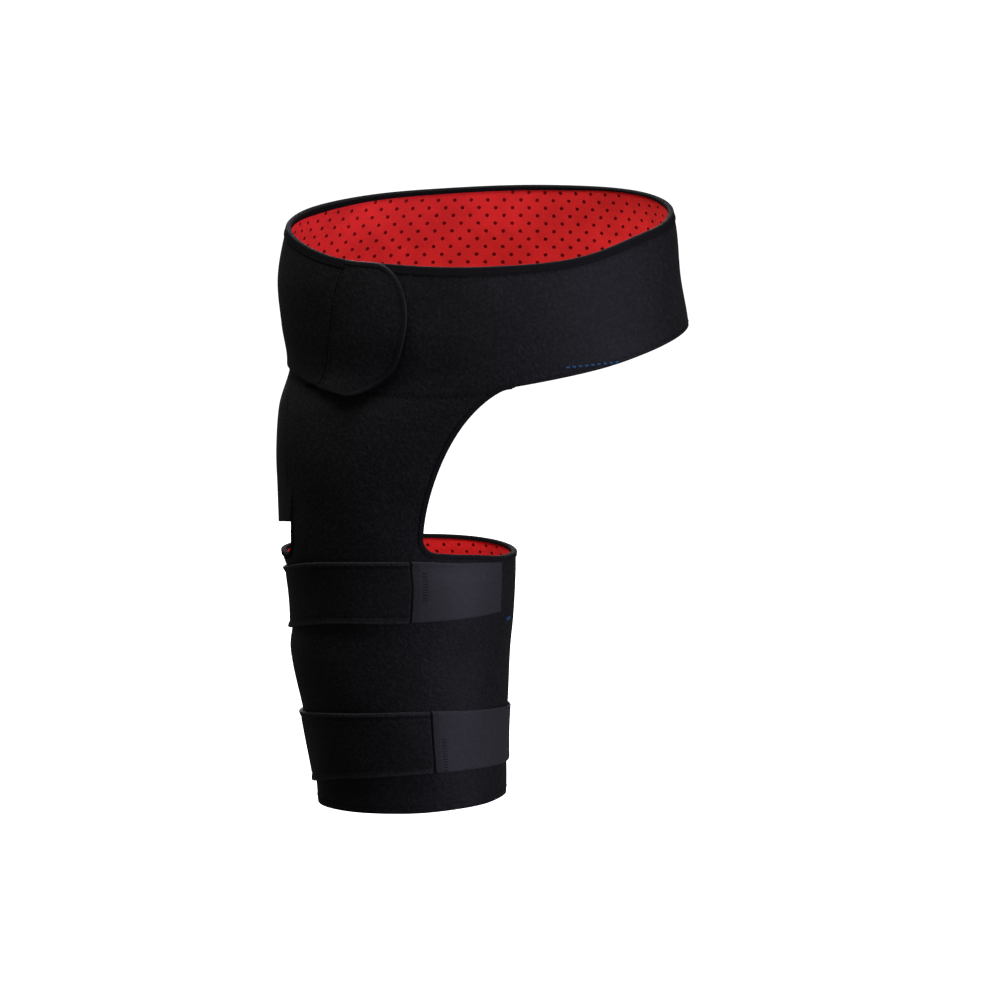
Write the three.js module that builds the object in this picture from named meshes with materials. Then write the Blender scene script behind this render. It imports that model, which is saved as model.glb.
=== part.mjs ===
// Hip and thigh compression brace: a waist belt that laps over itself and closes with a round-ended flap,
// a hip panel with a groin arch, and a thigh cuff held by two straps.
// Millimetres, +Z up, -Y is the wearer's front. The origin is the middle of the belt's hollow.
// Angles are degrees round the body, anticlockwise from above: 0 is +X, 90 the back, 180 -X, 270 the front.
import * as THREE from "three";

// Cloth thicknesses and the gaps between layers
const SHELL_THICK = 2.0;
const LINING_THICK = 1.4;
const STRAP_THICK = 2.4;
const HOOK_THICK = 1.8;
const TAPE_THICK = 0.8;
const LAYER_GAP = 0.3;
const STRAP_GAP = 1;
const SEAM_GAP = 0.4;
const LAMINATE = SHELL_THICK + LAYER_GAP + LINING_THICK;

// The form that the brace is shaped on: the outer face of the black shell, a row for each height
const FORM = [
  { z: 95, left: -157, right: 166, front: -106, back: 114 },
  { z: 59, left: -170, right: 175, front: -111, back: 121 },
  { z: 13, left: -178.6, right: 180, front: -117, back: 127 },
  { z: -30, left: -175.8, right: 186.5, front: -120, back: 131 },
  { z: -67, left: -170.7, right: 187, front: -119, back: 130 },
  { z: -105, left: -180.8, right: 135, front: -116, back: 118 },
  { z: -143, left: -183.4, right: 80, front: -110, back: 106 },
  { z: -200, left: -179.5, right: 39, front: -101, back: 98 },
  { z: -235, left: -178.5, right: 33, front: -96, back: 95 },
  { z: -255, left: -171.7, right: 32.5, front: -95, back: 94 },
  { z: -295, left: -168.3, right: 30.5, front: -93, back: 92 },
  { z: -325, left: -171, right: 27.7, front: -91, back: 91 },
  { z: -381, left: -159.7, right: 24.7, front: -87, back: 87 },
  { z: -435, left: -150, right: 24, front: -82, back: 83 },
  { z: -465, left: -147.5, right: 23, front: -80, back: 81 },
];

// Waist belt: its rim is a tilted wave that sags at two places, and its strip runs once round and over itself
const RIM = { level: 61.7, side: 6.4, back: 25.8, twice: 4.5 };
const RIM_SAGS = [
  { angle: 219, reach: 16, drop: 7.2 },
  { angle: 296, reach: 15, drop: 2 },
];
const BELT_START = 186;
const BELT_STEP = 6.1;
const BELT_STEPS = 65;
const BELT_ROWS = 4;
const LINING_STEPS = 58;
const BELT_SEAM = { slantFrom: 555, angle: BELT_START + BELT_STEP * BELT_STEPS, slant: 13 };
const BELT_HEM = [
  { angle: 186, z: -78 },
  { angle: 225, z: -80 },
  { angle: 262, z: -81 },
  { angle: 276, z: -74.6 },
  { angle: 300, z: -61 },
  { angle: 320, z: -48 },
  { angle: 340, z: -38 },
  { angle: 360, z: -31.5 },
  { angle: 405, z: -29 },
  { angle: 450, z: -33 },
  { angle: 495, z: -47 },
  { angle: 540, z: -65 },
  { angle: 583, z: -79.5 },
  { angle: 597, z: -86.5 },
  { angle: 612, z: -90 },
];
const LAP = { from: 505, to: 580, rise: 5.4 };
const UNDERLAP = { from: 226, to: 233, drop: 9 };

// Closure flap: the rounded end past the belt's outer seam, with a slack belly along its lower edge
const FLAP = {
  tip: 608.6,
  mmPerDegree: 2.6,
  seamGap: 1.6,
  topCorner: { width: 34, height: 35, bow: 2 },
  bottomCorner: { width: 40, height: 83, bow: 1.6 },
  belly: 3,
  bellyReach: 0.72,
  bellyRise: 0.8,
  columns: 12,
  rows: 7,
};

// Hip panel: its arch is a superellipse, its outer edge keeps one x, and its tab's loose end stands off.
// The tab's columns are shares of its width, close together where its top steps down under the belt's start.
const ARCH = { top: -75, foot: -215, toe: 29, wall: -51, bow: 1.72 };
const PANEL_EDGE_X = -168;
const PANEL_CORNER = { width: 15, height: 15, bow: 2 };
const PANEL_GRID = { columns: 12, rows: 14 };
const SIDE_TAB = { rear: 148, rearBottom: -217, bottom: -202, stepFrom: 184, stepTo: 185 };
const TAB_FLARE = { proud: 2.2, rise: 0.3 };
const TAB_ROWS = 7;
const TAB_STOPS = [0, 0.22, 0.44, 0.62, 0.77, 0.82, 0.91, 1];

// Thigh cuff: its rim is open at the back, and dips under the upper strap where the hip panel joins it
const CUFF_RIM = [
  { angle: 100, z: -236 },
  { angle: 180, z: -234 },
  { angle: 215, z: -235 },
  { angle: 285, z: -226 },
  { angle: 300, z: -228.4 },
  { angle: 315, z: -231 },
  { angle: 330, z: -234.4 },
  { angle: 345, z: -235.9 },
  { angle: 360, z: -236.4 },
  { angle: 390, z: -234.8 },
  { angle: 420, z: -234.4 },
  { angle: 460, z: -236 },
];
const CUFF_HEM = [
  { angle: 100, z: -459 },
  { angle: 180, z: -464 },
  { angle: 270, z: -461.6 },
  { angle: 315, z: -458.6 },
  { angle: 360, z: -457 },
  { angle: 460, z: -459 },
];
const SLIT = { angle: 100, half: 1.9 };
const JOIN_DIP = { depth: 13, ramp: 12 };
const CUFF_GRID = { rearColumns: 12, frontColumns: 20, rows: 8, crowding: 1.3 };

// Straps: each starts sewn behind the slit, and its hook tape starts at the seam
const STRAP_ROWS = 3;
const UPPER_STRAP = {
  start: 70,
  seam: 275,
  end: 329,
  columns: 30,
  hookColumns: 10,
  edges: [
    { angle: 70, top: -245, bottom: -297 },
    { angle: 130, top: -249, bottom: -303 },
    { angle: 180, top: -248, bottom: -305.5 },
    { angle: 230, top: -234.5, bottom: -290.5 },
    { angle: 275, top: -230.5, bottom: -286.5 },
    { angle: 300, top: -233.8, bottom: -285 },
    { angle: 315, top: -235.6, bottom: -284 },
    { angle: 332, top: -239.2, bottom: -283 },
  ],
};
const LOWER_STRAP = {
  start: 70,
  seam: 285,
  end: 396,
  columns: 30,
  hookColumns: 18,
  edges: [
    { angle: 70, top: -377, bottom: -433 },
    { angle: 130, top: -381, bottom: -443 },
    { angle: 180, top: -380, bottom: -445 },
    { angle: 235, top: -371, bottom: -431 },
    { angle: 285, top: -367, bottom: -424 },
    { angle: 360, top: -375, bottom: -425 },
    { angle: 396, top: -377, bottom: -426 },
  ],
};

// Folded binding tapes: how far each leg reaches over the cloth's outer and inner face
const WAIST_TAPE = { outer: 8, inner: 4, cloth: LAMINATE, gap: 0.5 };
const FLAP_TAPE = { outer: 2.6, inner: 2.2, cloth: SHELL_THICK, gap: 1.1 };
const LEG_TAPE = { outer: 3.2, inner: 2.6, cloth: LAMINATE, gap: 0.6 };
const WAIST_TAPE_FIRST_STEP = 8;

// Colours and roughness
const LOOP_BLACK = 0x0d0d10;
const TAPE_BLACK = 0x101013;
const LINING_RED = 0xd3262a;
const HOOK_GREY = 0x26262c;
const ROUGH = { loop: 0.95, lining: 0.8, tape: 0.6, hook: 0.5 };

const lerp = THREE.MathUtils.lerp;
const smoothstep = THREE.MathUtils.smoothstep;
const toRadians = THREE.MathUtils.degToRad;

// Evenly spaced values from one number to another, both included
function spaced(from, to, steps) {
  return Array.from({ length: steps + 1 }, (_, k) => lerp(from, to, k / steps));
}

// Smooth curve through one column of a table whose rows are in order of the key
function curveThrough(rows, key, column) {
  const up = rows[0][key] < rows[rows.length - 1][key] ? rows : [...rows].reverse();
  const slope = (a, b) => (b[column] - a[column]) / (b[key] - a[key]);
  const last = up.length - 1;
  const tangent = (i) => slope(up[Math.max(i - 1, 0)], up[Math.min(i + 1, last)]);
  return (value) => {
    const x = THREE.MathUtils.clamp(value, up[0][key], up[last][key]);
    let i = 0;
    while (i < last - 1 && up[i + 1][key] < x) i += 1;
    const width = up[i + 1][key] - up[i][key];
    const t = (x - up[i][key]) / width;
    const fromStart = up[i][column] * (1 + 2 * t) * (1 - t) ** 2 + width * tangent(i) * t * (1 - t) ** 2;
    const fromEnd = up[i + 1][column] * t * t * (3 - 2 * t) - width * tangent(i + 1) * t * t * (1 - t);
    return fromStart + fromEnd;
  };
}

const formLeft = curveThrough(FORM, "z", "left");
const formRight = curveThrough(FORM, "z", "right");
const formFront = curveThrough(FORM, "z", "front");
const formBack = curveThrough(FORM, "z", "back");
const beltHem = curveThrough(BELT_HEM, "angle", "z");
const cuffRim = curveThrough(CUFF_RIM, "angle", "z");
const cuffHem = curveThrough(CUFF_HEM, "angle", "z");

// Point on the form at an angle and a height
function formPoint(angle, z) {
  const a = toRadians(angle);
  const halfWidth = (formRight(z) - formLeft(z)) / 2;
  const halfDepth = (formBack(z) - formFront(z)) / 2;
  return new THREE.Vector3(
    (formLeft(z) + formRight(z)) / 2 + halfWidth * Math.cos(a),
    (formFront(z) + formBack(z)) / 2 + halfDepth * Math.sin(a),
    z,
  );
}

function formNormal(angle, z) {
  const step = 0.5;
  const along = formPoint(angle + step, z).sub(formPoint(angle - step, z));
  const upward = formPoint(angle, z + step).sub(formPoint(angle, z - step));
  return along.cross(upward).normalize();
}

// Point that stands proud of the form by a distance along its normal
function onForm(angle, z, proud) {
  return formPoint(angle, z).addScaledVector(formNormal(angle, z), proud);
}

// Angle at which the front of the form has a given x
function frontAngle(x, z) {
  const halfWidth = (formRight(z) - formLeft(z)) / 2;
  const share = (x - (formLeft(z) + formRight(z)) / 2) / halfWidth;
  return 360 - THREE.MathUtils.radToDeg(Math.acos(THREE.MathUtils.clamp(share, -1, 1)));
}

// Height of the belt's rim, and of its strip's top edge, which is lower where the flap covers it
function rimHeight(angle) {
  const a = toRadians(angle);
  const wave = RIM.side * Math.cos(a) + RIM.back * Math.sin(a) + RIM.twice * Math.cos(2 * a);
  const around = THREE.MathUtils.euclideanModulo(angle, 360);
  const drop = (sag) => sag.drop * Math.exp(-(((around - sag.angle) / sag.reach) ** 2));
  return RIM_SAGS.reduce((height, sag) => height - drop(sag), RIM.level + wave);
}

function beltTop(angle) {
  return rimHeight(angle) - UNDERLAP.drop * (1 - smoothstep(angle, UNDERLAP.from, UNDERLAP.to));
}

// How far the belt's outer end stands proud where it laps over its own start
function lapRise(angle) {
  return LAP.rise * smoothstep(angle, LAP.from, LAP.to);
}

// Angle of the belt's outer seam at a share of the belt's height, and of the strip on its way there
function seamAngle(v) {
  return BELT_SEAM.angle + BELT_SEAM.slant * (v - 0.5);
}

function stripAngle(angle, v) {
  return angle + BELT_SEAM.slant * (v - 0.5) * smoothstep(angle, BELT_SEAM.slantFrom, BELT_SEAM.angle);
}

// Drop of a superelliptic corner at a distance from the sheet's end
function cornerDrop(distance, corner) {
  const inside = Math.max(1 - distance / corner.width, 0);
  return corner.height * (1 - (1 - inside ** corner.bow) ** (1 / corner.bow));
}

function flapTop(angle) {
  return rimHeight(angle) - cornerDrop((FLAP.tip - angle) * FLAP.mmPerDegree, FLAP.topCorner);
}

function flapBottom(angle) {
  return beltHem(angle) + cornerDrop((FLAP.tip - angle) * FLAP.mmPerDegree, FLAP.bottomCorner);
}

// Share of the way to the tip, with the columns close together at the round corners
function flapReach(u) {
  return Math.sin((u * Math.PI) / 2);
}

// Angle and height on the flap, u from the seam to the tip and v from its lower to its upper edge
function flapPlace(u, v) {
  const seam = seamAngle(v) + FLAP.seamGap / FLAP.mmPerDegree;
  const reach = flapReach(u);
  const level = lerp(BELT_SEAM.angle, FLAP.tip, reach);
  const z = lerp(flapBottom(level), flapTop(level), v);
  return { angle: lerp(seam, FLAP.tip, reach), z };
}

function flapProud(u, v) {
  const along = Math.min(flapReach(u) / FLAP.bellyReach, 1);
  return LAP.rise + FLAP.belly * Math.sin(Math.PI * along) ** 2 * (1 - smoothstep(v, 0, FLAP.bellyRise));
}

// Sideways flare of the hip panel's edges where they round into the cuff's rim
function cornerFlare(z, rim) {
  return cornerDrop(z - rim, PANEL_CORNER);
}

function archX(z) {
  const height = THREE.MathUtils.clamp((z - ARCH.foot) / (ARCH.top - ARCH.foot), 0, 1);
  return ARCH.toe - (ARCH.toe - ARCH.wall) * (1 - height ** ARCH.bow) ** (1 / ARCH.bow);
}

// Degrees that a sideways distance takes up on the cuff at its rim
const CUFF_MM_PER_DEGREE = 1.75;
const ARCH_RIM = cuffRim(frontAngle(ARCH.wall, CUFF_RIM[3].z));
const EDGE_RIM = cuffRim(frontAngle(PANEL_EDGE_X, CUFF_RIM[2].z));

function archAngle(z) {
  const level = Math.max(z, ARCH_RIM);
  return frontAngle(archX(level), level) + cornerFlare(level, ARCH_RIM) / CUFF_MM_PER_DEGREE;
}

function edgeAngle(z) {
  const level = Math.max(z, EDGE_RIM);
  return frontAngle(PANEL_EDGE_X, level) - cornerFlare(level, EDGE_RIM) / CUFF_MM_PER_DEGREE;
}

const JOIN = { from: edgeAngle(EDGE_RIM), to: archAngle(ARCH_RIM) };

function cuffTop(angle) {
  const inside = Math.min(angle - JOIN.from, JOIN.to - angle);
  return cuffRim(angle) - JOIN_DIP.depth * smoothstep(inside, 0, JOIN_DIP.ramp);
}

// The cuff's columns, which meet the hip panel's columns where the two are joined
const CUFF_START = SLIT.angle + SLIT.half;
const CUFF_END = SLIT.angle + 360 - SLIT.half;
const REAR_ANGLES = spaced(CUFF_START, JOIN.from, CUFF_GRID.rearColumns);
const JOIN_ANGLES = spaced(JOIN.from, JOIN.to, PANEL_GRID.columns);
const FRONT_ANGLES = spaced(JOIN.to, CUFF_END, CUFF_GRID.frontColumns);
const CUFF_ANGLES = [...REAR_ANGLES, ...JOIN_ANGLES.slice(1, -1), ...FRONT_ANGLES];

// Angle and height on the hip panel, u from its outer edge to the arch and v from the cuff to the belt
function panelPlace(u, v) {
  const bottom = cuffTop(lerp(JOIN.from, JOIN.to, u)) + SEAM_GAP;
  const topAngle = lerp(edgeAngle(BELT_HEM[2].z), archAngle(BELT_HEM[2].z), u);
  const z = lerp(bottom, beltHem(topAngle) - SEAM_GAP, smoothstep(v, 0, 1));
  return { angle: lerp(edgeAngle(z), archAngle(z), u), z };
}

// Closed wall of cloth: place gives the point at u, v and a depth below the outer face
function sheetGeometry(columns, rows, thick, place) {
  const positions = [];
  const faces = [];
  const at = (side, i, j) => (side * (columns + 1) + i) * (rows + 1) + j;
  const quad = (a, b, c, d) => faces.push(a, b, c, a, c, d);
  for (let side = 0; side < 2; side += 1) {
    for (let i = 0; i <= columns; i += 1) {
      for (let j = 0; j <= rows; j += 1) {
        positions.push(...place(i / columns, j / rows, side * thick).toArray());
      }
    }
  }
  for (let i = 0; i < columns; i += 1) {
    for (let j = 0; j < rows; j += 1) {
      quad(at(0, i, j), at(0, i + 1, j), at(0, i + 1, j + 1), at(0, i, j + 1));
      quad(at(1, i, j), at(1, i, j + 1), at(1, i + 1, j + 1), at(1, i + 1, j));
    }
    quad(at(1, i, 0), at(1, i + 1, 0), at(0, i + 1, 0), at(0, i, 0));
    quad(at(0, i, rows), at(0, i + 1, rows), at(1, i + 1, rows), at(1, i, rows));
  }
  for (let j = 0; j < rows; j += 1) {
    quad(at(0, 0, j), at(0, 0, j + 1), at(1, 0, j + 1), at(1, 0, j));
    quad(at(1, columns, j), at(1, columns, j + 1), at(0, columns, j + 1), at(0, columns, j));
  }
  return closedGeometry(positions, faces);
}

function closedGeometry(positions, faces) {
  const geometry = new THREE.BufferGeometry();
  geometry.setAttribute("position", new THREE.Float32BufferAttribute(positions, 3));
  geometry.setIndex(faces);
  geometry.computeVertexNormals();
  return geometry;
}

// U-shaped section of a folded tape: x points off the cloth's edge and y out of its face
function tapeSection(tape) {
  const near = tape.gap;
  const far = tape.gap + TAPE_THICK;
  return [
    [-tape.outer, far],
    [-tape.outer, near],
    [near, near],
    [near, -tape.cloth - near],
    [-tape.inner, -tape.cloth - near],
    [-tape.inner, -tape.cloth - far],
    [far, -tape.cloth - far],
    [far, far],
  ].map(([x, y]) => new THREE.Vector2(x, y));
}

// Tape folded over an edge: each stop of the path has an angle, a height and how proud the cloth stands
function tapeGeometry(tape, path) {
  const section = tapeSection(tape);
  const points = path.map((stop) => onForm(stop.angle, stop.z, stop.proud));
  const last = points.length - 1;
  const positions = [];
  const faces = [];
  points.forEach((point, k) => {
    const along = points[Math.min(k + 1, last)].clone().sub(points[Math.max(k - 1, 0)]);
    const out = formNormal(path[k].angle, path[k].z);
    const off = out.clone().cross(along).normalize();
    section.forEach((corner) => {
      const spot = point.clone().addScaledVector(off, corner.x).addScaledVector(out, corner.y);
      positions.push(...spot.toArray());
    });
  });
  const count = section.length;
  for (let k = 0; k < last; k += 1) {
    for (let i = 0; i < count; i += 1) {
      const a = k * count + i;
      const b = k * count + ((i + 1) % count);
      faces.push(a, b, b + count, a, b + count, a + count);
    }
  }
  THREE.ShapeUtils.triangulateShape(section, []).forEach(([a, b, c]) => {
    faces.push(c, b, a);
    faces.push(last * count + a, last * count + b, last * count + c);
  });
  return closedGeometry(positions, faces);
}

const group = new THREE.Group();

function addPiece(name, geometry, color, roughness) {
  const material = new THREE.MeshStandardMaterial({ color, roughness, metalness: 0 });
  const mesh = new THREE.Mesh(geometry, material);
  mesh.name = name;
  group.add(mesh);
}

const addShell = (name, geometry) => addPiece(name, geometry, LOOP_BLACK, ROUGH.loop);
const addLining = (name, geometry) => addPiece(name, geometry, LINING_RED, ROUGH.lining);
const addTape = (name, geometry) => addPiece(name, geometry, TAPE_BLACK, ROUGH.tape);

// Waist belt and its red lining
function beltSheet(columns, thick, sunk) {
  return sheetGeometry(columns, BELT_ROWS, thick, (u, v, depth) => {
    const level = BELT_START + u * columns * BELT_STEP;
    const z = lerp(beltHem(level), beltTop(level), v);
    return onForm(stripAngle(level, v), z, lapRise(level) - sunk - depth);
  });
}

const SUNK_LINING = SHELL_THICK + LAYER_GAP;
addShell("waist_belt", beltSheet(BELT_STEPS, SHELL_THICK, 0));
addLining("waist_lining", beltSheet(LINING_STEPS, LINING_THICK, SUNK_LINING));

// Closure flap
addShell("closure_flap", sheetGeometry(FLAP.columns, FLAP.rows, SHELL_THICK, (u, v, depth) => {
  const spot = flapPlace(u, v);
  return onForm(spot.angle, spot.z, flapProud(u, v) - depth);
}));

// Hip panel, its lining and the tab along its outer edge
function panelSheet(thick, sunk) {
  return sheetGeometry(PANEL_GRID.columns, PANEL_GRID.rows, thick, (u, v, depth) => {
    const spot = panelPlace(u, v);
    return onForm(spot.angle, spot.z, -sunk - depth);
  });
}

addShell("hip_panel", panelSheet(SHELL_THICK, 0));
addLining("hip_lining", panelSheet(LINING_THICK, SUNK_LINING));
addShell("side_tab", sheetGeometry(TAB_STOPS.length - 1, TAB_ROWS, SHELL_THICK, (u, v, depth) => {
  const share = TAB_STOPS[Math.round(u * (TAB_STOPS.length - 1))];
  const topAngle = lerp(SIDE_TAB.rear, edgeAngle(BELT_HEM[0].z), share);
  const step = smoothstep(topAngle, SIDE_TAB.stepFrom, SIDE_TAB.stepTo);
  const top = lerp(beltHem(topAngle + 360), BELT_HEM[0].z, step) - SEAM_GAP;
  const z = lerp(lerp(SIDE_TAB.rearBottom, SIDE_TAB.bottom, share), top, v);
  const angle = lerp(SIDE_TAB.rear, edgeAngle(z) - SEAM_GAP / CUFF_MM_PER_DEGREE, share);
  return onForm(angle, z, TAB_FLARE.proud * (1 - smoothstep(v, 0, TAB_FLARE.rise)) - depth);
}));

// Thigh cuff and its lining
function cuffSheet(thick, sunk) {
  const columns = CUFF_ANGLES.length - 1;
  return sheetGeometry(columns, CUFF_GRID.rows, thick, (u, v, depth) => {
    const angle = CUFF_ANGLES[Math.round(u * columns)];
    const z = lerp(cuffTop(angle), cuffHem(angle), (1 - v) ** CUFF_GRID.crowding);
    return onForm(angle, z, -sunk - depth);
  });
}

addShell("thigh_cuff", cuffSheet(SHELL_THICK, 0));
addLining("thigh_lining", cuffSheet(LINING_THICK, SUNK_LINING));

// Straps and their hook tapes
function strapSheet(columns, strap, from, to, thick) {
  const top = curveThrough(strap.edges, "angle", "top");
  const bottom = curveThrough(strap.edges, "angle", "bottom");
  return sheetGeometry(columns, STRAP_ROWS, thick, (u, v, depth) => {
    const angle = lerp(from, to, u);
    return onForm(angle, lerp(bottom(angle), top(angle), v), STRAP_GAP + thick - depth);
  });
}

function addStrap(name, strap) {
  const split = SEAM_GAP / CUFF_MM_PER_DEGREE;
  addShell(`${name}_strap`, strapSheet(strap.columns, strap, strap.start, strap.seam, STRAP_THICK));
  const hook = strapSheet(strap.hookColumns, strap, strap.seam + split, strap.end, HOOK_THICK);
  addPiece(`${name}_hook_tape`, hook, HOOK_GREY, ROUGH.hook);
}

addStrap("upper", UPPER_STRAP);
addStrap("lower", LOWER_STRAP);

// Folded tapes on the belt's rim, the flap, the groin arch and the cuff's rim
const beltStop = (level) => ({ angle: stripAngle(level, 1), z: beltTop(level), proud: lapRise(level) });
const beltLevels = spaced(BELT_START, BELT_SEAM.angle, BELT_STEPS).slice(WAIST_TAPE_FIRST_STEP);
addTape("waist_binding", tapeGeometry(WAIST_TAPE, beltLevels.map(beltStop)));

const flapStop = (u, v) => ({ ...flapPlace(u, v), proud: flapProud(u, v) });
const flapPath = [
  ...spaced(0, 1, FLAP.columns).map((u) => flapStop(u, 1)),
  ...spaced(1, 0, FLAP.rows).slice(1, -1).map((v) => flapStop(1, v)),
  ...spaced(1, 0, FLAP.columns).map((u) => flapStop(u, 0)),
];
addTape("flap_binding", tapeGeometry(FLAP_TAPE, flapPath));

const panelStop = (u) => (v) => ({ ...panelPlace(u, v), proud: 0 });
const rimStop = (angle) => ({ angle, z: cuffRim(angle), proud: 0 });
const panelRows = spaced(0, 1, PANEL_GRID.rows);
const archEdge = panelRows.slice(0, -1).reverse().map(panelStop(1));
const archPath = [...archEdge, ...FRONT_ANGLES.slice(1).map(rimStop)];
addTape("arch_binding", tapeGeometry(LEG_TAPE, archPath));

const outerEdge = panelRows.map(panelStop(0)).filter((stop) => stop.z < SIDE_TAB.bottom);
const rearPath = [...REAR_ANGLES.slice(0, -1).map(rimStop), ...outerEdge];
addTape("rear_binding", tapeGeometry(LEG_TAPE, rearPath));

export default group;
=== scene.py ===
"""Looks of a hip and thigh compression brace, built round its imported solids.

Every cloth piece is shaped on one body form, in millimetres and in degrees round the body: 0 is +X,
90 the back, 180 -X and 270 the front. Meshes are stored in metres, in the solids' own frame.
"""

import logging
import math
from dataclasses import dataclass, field
from enum import Enum
from functools import cached_property
from typing import Callable, NamedTuple, Sequence

import bpy
import numpy as np
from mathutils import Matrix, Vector


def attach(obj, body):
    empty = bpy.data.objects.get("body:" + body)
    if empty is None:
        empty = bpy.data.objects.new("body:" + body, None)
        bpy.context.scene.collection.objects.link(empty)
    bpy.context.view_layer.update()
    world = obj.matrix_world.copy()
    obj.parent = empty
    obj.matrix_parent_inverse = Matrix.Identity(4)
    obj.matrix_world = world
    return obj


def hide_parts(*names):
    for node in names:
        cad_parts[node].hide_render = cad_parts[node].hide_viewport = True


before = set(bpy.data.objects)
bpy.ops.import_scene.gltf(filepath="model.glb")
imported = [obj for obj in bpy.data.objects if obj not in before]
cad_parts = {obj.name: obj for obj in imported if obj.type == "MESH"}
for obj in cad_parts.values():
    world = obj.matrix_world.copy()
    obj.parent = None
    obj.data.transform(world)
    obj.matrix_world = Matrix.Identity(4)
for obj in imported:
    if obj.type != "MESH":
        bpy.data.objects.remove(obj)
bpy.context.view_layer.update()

# Types
Array = np.ndarray
Place = Callable[[Array, Array, Array], Array]
Outline = Callable[[Array, Array], tuple[Array, Array]]
Pair = tuple[float, float]
Triple = tuple[float, float, float]
Rows = tuple[Pair, ...]
Grid = tuple[int, int]
Colour = tuple[float, float, float]
Cut = tuple[float, float, float]
Face = tuple[int, ...]
Piece = bpy.types.Object
Socket = bpy.types.NodeSocket

# Fixed values
LOG = logging.getLogger("brace")
BODY = "root"
MM = 0.001
SHARP_DEGREES = 50.0
ROUNDED_LINES = 4
RULER_STEP = 0.5
CUT_INSET = 0.4
TOUCH = 1e-9
WELD_DIGITS = 5
HOLE_CORNERS = 8
FIRST_CORNER = 225.0
THREAD_SIDES = 6


class Slot(Enum):
    """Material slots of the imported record."""

    LOOP = "loop_cloth"
    LINING = "red_lining"
    TAPE = "binding_tape"
    HOOK = "hook_tape"


class Held(Enum):
    """How a sheet of cloth is held."""

    STRETCHED = "stretched"
    FOLDED = "folded"


class FormRow(NamedTuple):
    """One height of the body form: where its four sides are."""

    z: float
    left: float
    right: float
    front: float
    back: float


class EdgeRow(NamedTuple):
    """One place along a strap: the heights of its two edges."""

    angle: float
    top: float
    bottom: float


class Span(NamedTuple):
    """A stretch of angles, heights or shares that is followed in even stops."""

    start: float
    end: float
    stops: int

    @property
    def line(self) -> Array:
        """Give the stops."""
        return np.linspace(*self)


class Swell(NamedTuple):
    """A smooth rise at one place of an edge or a face."""

    place: float
    reach: float
    height: float

    def at(self, value: Array) -> Array:
        """Give the rise at a value."""
        return self.height * np.exp(-(((value - self.place) / self.reach) ** 2))


def smoothstep(value: Array, low: float, high: float) -> Array:
    """Ease from 0 at low to 1 at high.

    Args:
        value: Where to read the ease.
        low: Where it starts to rise.
        high: Where it has risen.

    Returns:
        Shares from 0 to 1.
    """
    share = np.clip((np.asarray(value, float) - low) / (high - low), 0.0, 1.0)
    return share * share * (3.0 - 2.0 * share)


def mix(start: Array, end: Array, share: Array) -> Array:
    """Give the value at a share of the way from start to end."""
    return start + (end - start) * share


def unit(vectors: Array) -> Array:
    """Scale vectors to a length of one."""
    return vectors / np.linalg.norm(vectors, axis=-1, keepdims=True)


def lengths_along(points: Array) -> Array:
    """Give the length of a line of points up to each of them."""
    return np.concatenate([[0.0], np.cumsum(np.linalg.norm(np.diff(points, axis=0), axis=1))])


def corner_drop(distance: Array, width: float, height: float, bow: float = 2.0) -> Array:
    """Give the drop of a superelliptic corner at a distance from the sheet's end.

    Args:
        distance: How far from the end.
        width: How far in the corner starts.
        height: Its whole drop.
        bow: Its power, 2 for an ellipse.

    Returns:
        Drops there.
    """
    inside = np.clip(1.0 - np.asarray(distance, float) / width, 0.0, 1.0)
    return height * (1.0 - (1.0 - inside**bow) ** (1.0 / bow))


class Curve:
    """Smooth curve through the rows of a short table."""

    def __init__(self, knots: Sequence[float], values: Sequence[float]) -> None:
        """Sort the rows and find the slope at each.

        Args:
            knots: Where the rows are.
            values: What each row says there.
        """
        order = np.argsort(knots)
        self.knots = np.asarray(knots, float)[order]
        self.values = np.asarray(values, float)[order]
        after = np.minimum(np.arange(len(order)) + 1, len(order) - 1)
        before = np.maximum(np.arange(len(order)) - 1, 0)
        rise = self.values[after] - self.values[before]
        self.slopes = rise / (self.knots[after] - self.knots[before])

    def __call__(self, where: Array) -> Array:
        """Read the curve, held level past its ends.

        Args:
            where: Places along the knots.

        Returns:
            Values there.
        """
        x = np.clip(np.asarray(where, float), self.knots[0], self.knots[-1])
        i = np.clip(np.searchsorted(self.knots, x, side="left") - 1, 0, len(self.knots) - 2)
        width = self.knots[i + 1] - self.knots[i]
        t = (x - self.knots[i]) / width
        start = self.values[i] * (1 + 2 * t) + width * self.slopes[i] * t
        end = self.values[i + 1] * (3 - 2 * t) - width * self.slopes[i + 1] * (1 - t)
        return start * (1 - t) ** 2 + end * t**2


# Body form
FORM_ROWS = (
    FormRow(95, -157, 166, -106, 114),
    FormRow(59, -170, 175, -111, 121),
    FormRow(13, -178.6, 180, -117, 127),
    FormRow(-30, -175.8, 186.5, -120, 131),
    FormRow(-67, -170.7, 187, -119, 130),
    FormRow(-105, -180.8, 135, -116, 118),
    FormRow(-143, -183.4, 80, -110, 106),
    FormRow(-200, -179.5, 39, -101, 98),
    FormRow(-235, -178.5, 33, -96, 95),
    FormRow(-255, -171.7, 32.5, -95, 94),
    FormRow(-295, -168.3, 30.5, -93, 92),
    FormRow(-325, -171, 27.7, -91, 91),
    FormRow(-381, -159.7, 24.7, -87, 87),
    FormRow(-435, -150, 24, -82, 83),
    FormRow(-465, -147.5, 23, -80, 81),
)


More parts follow.
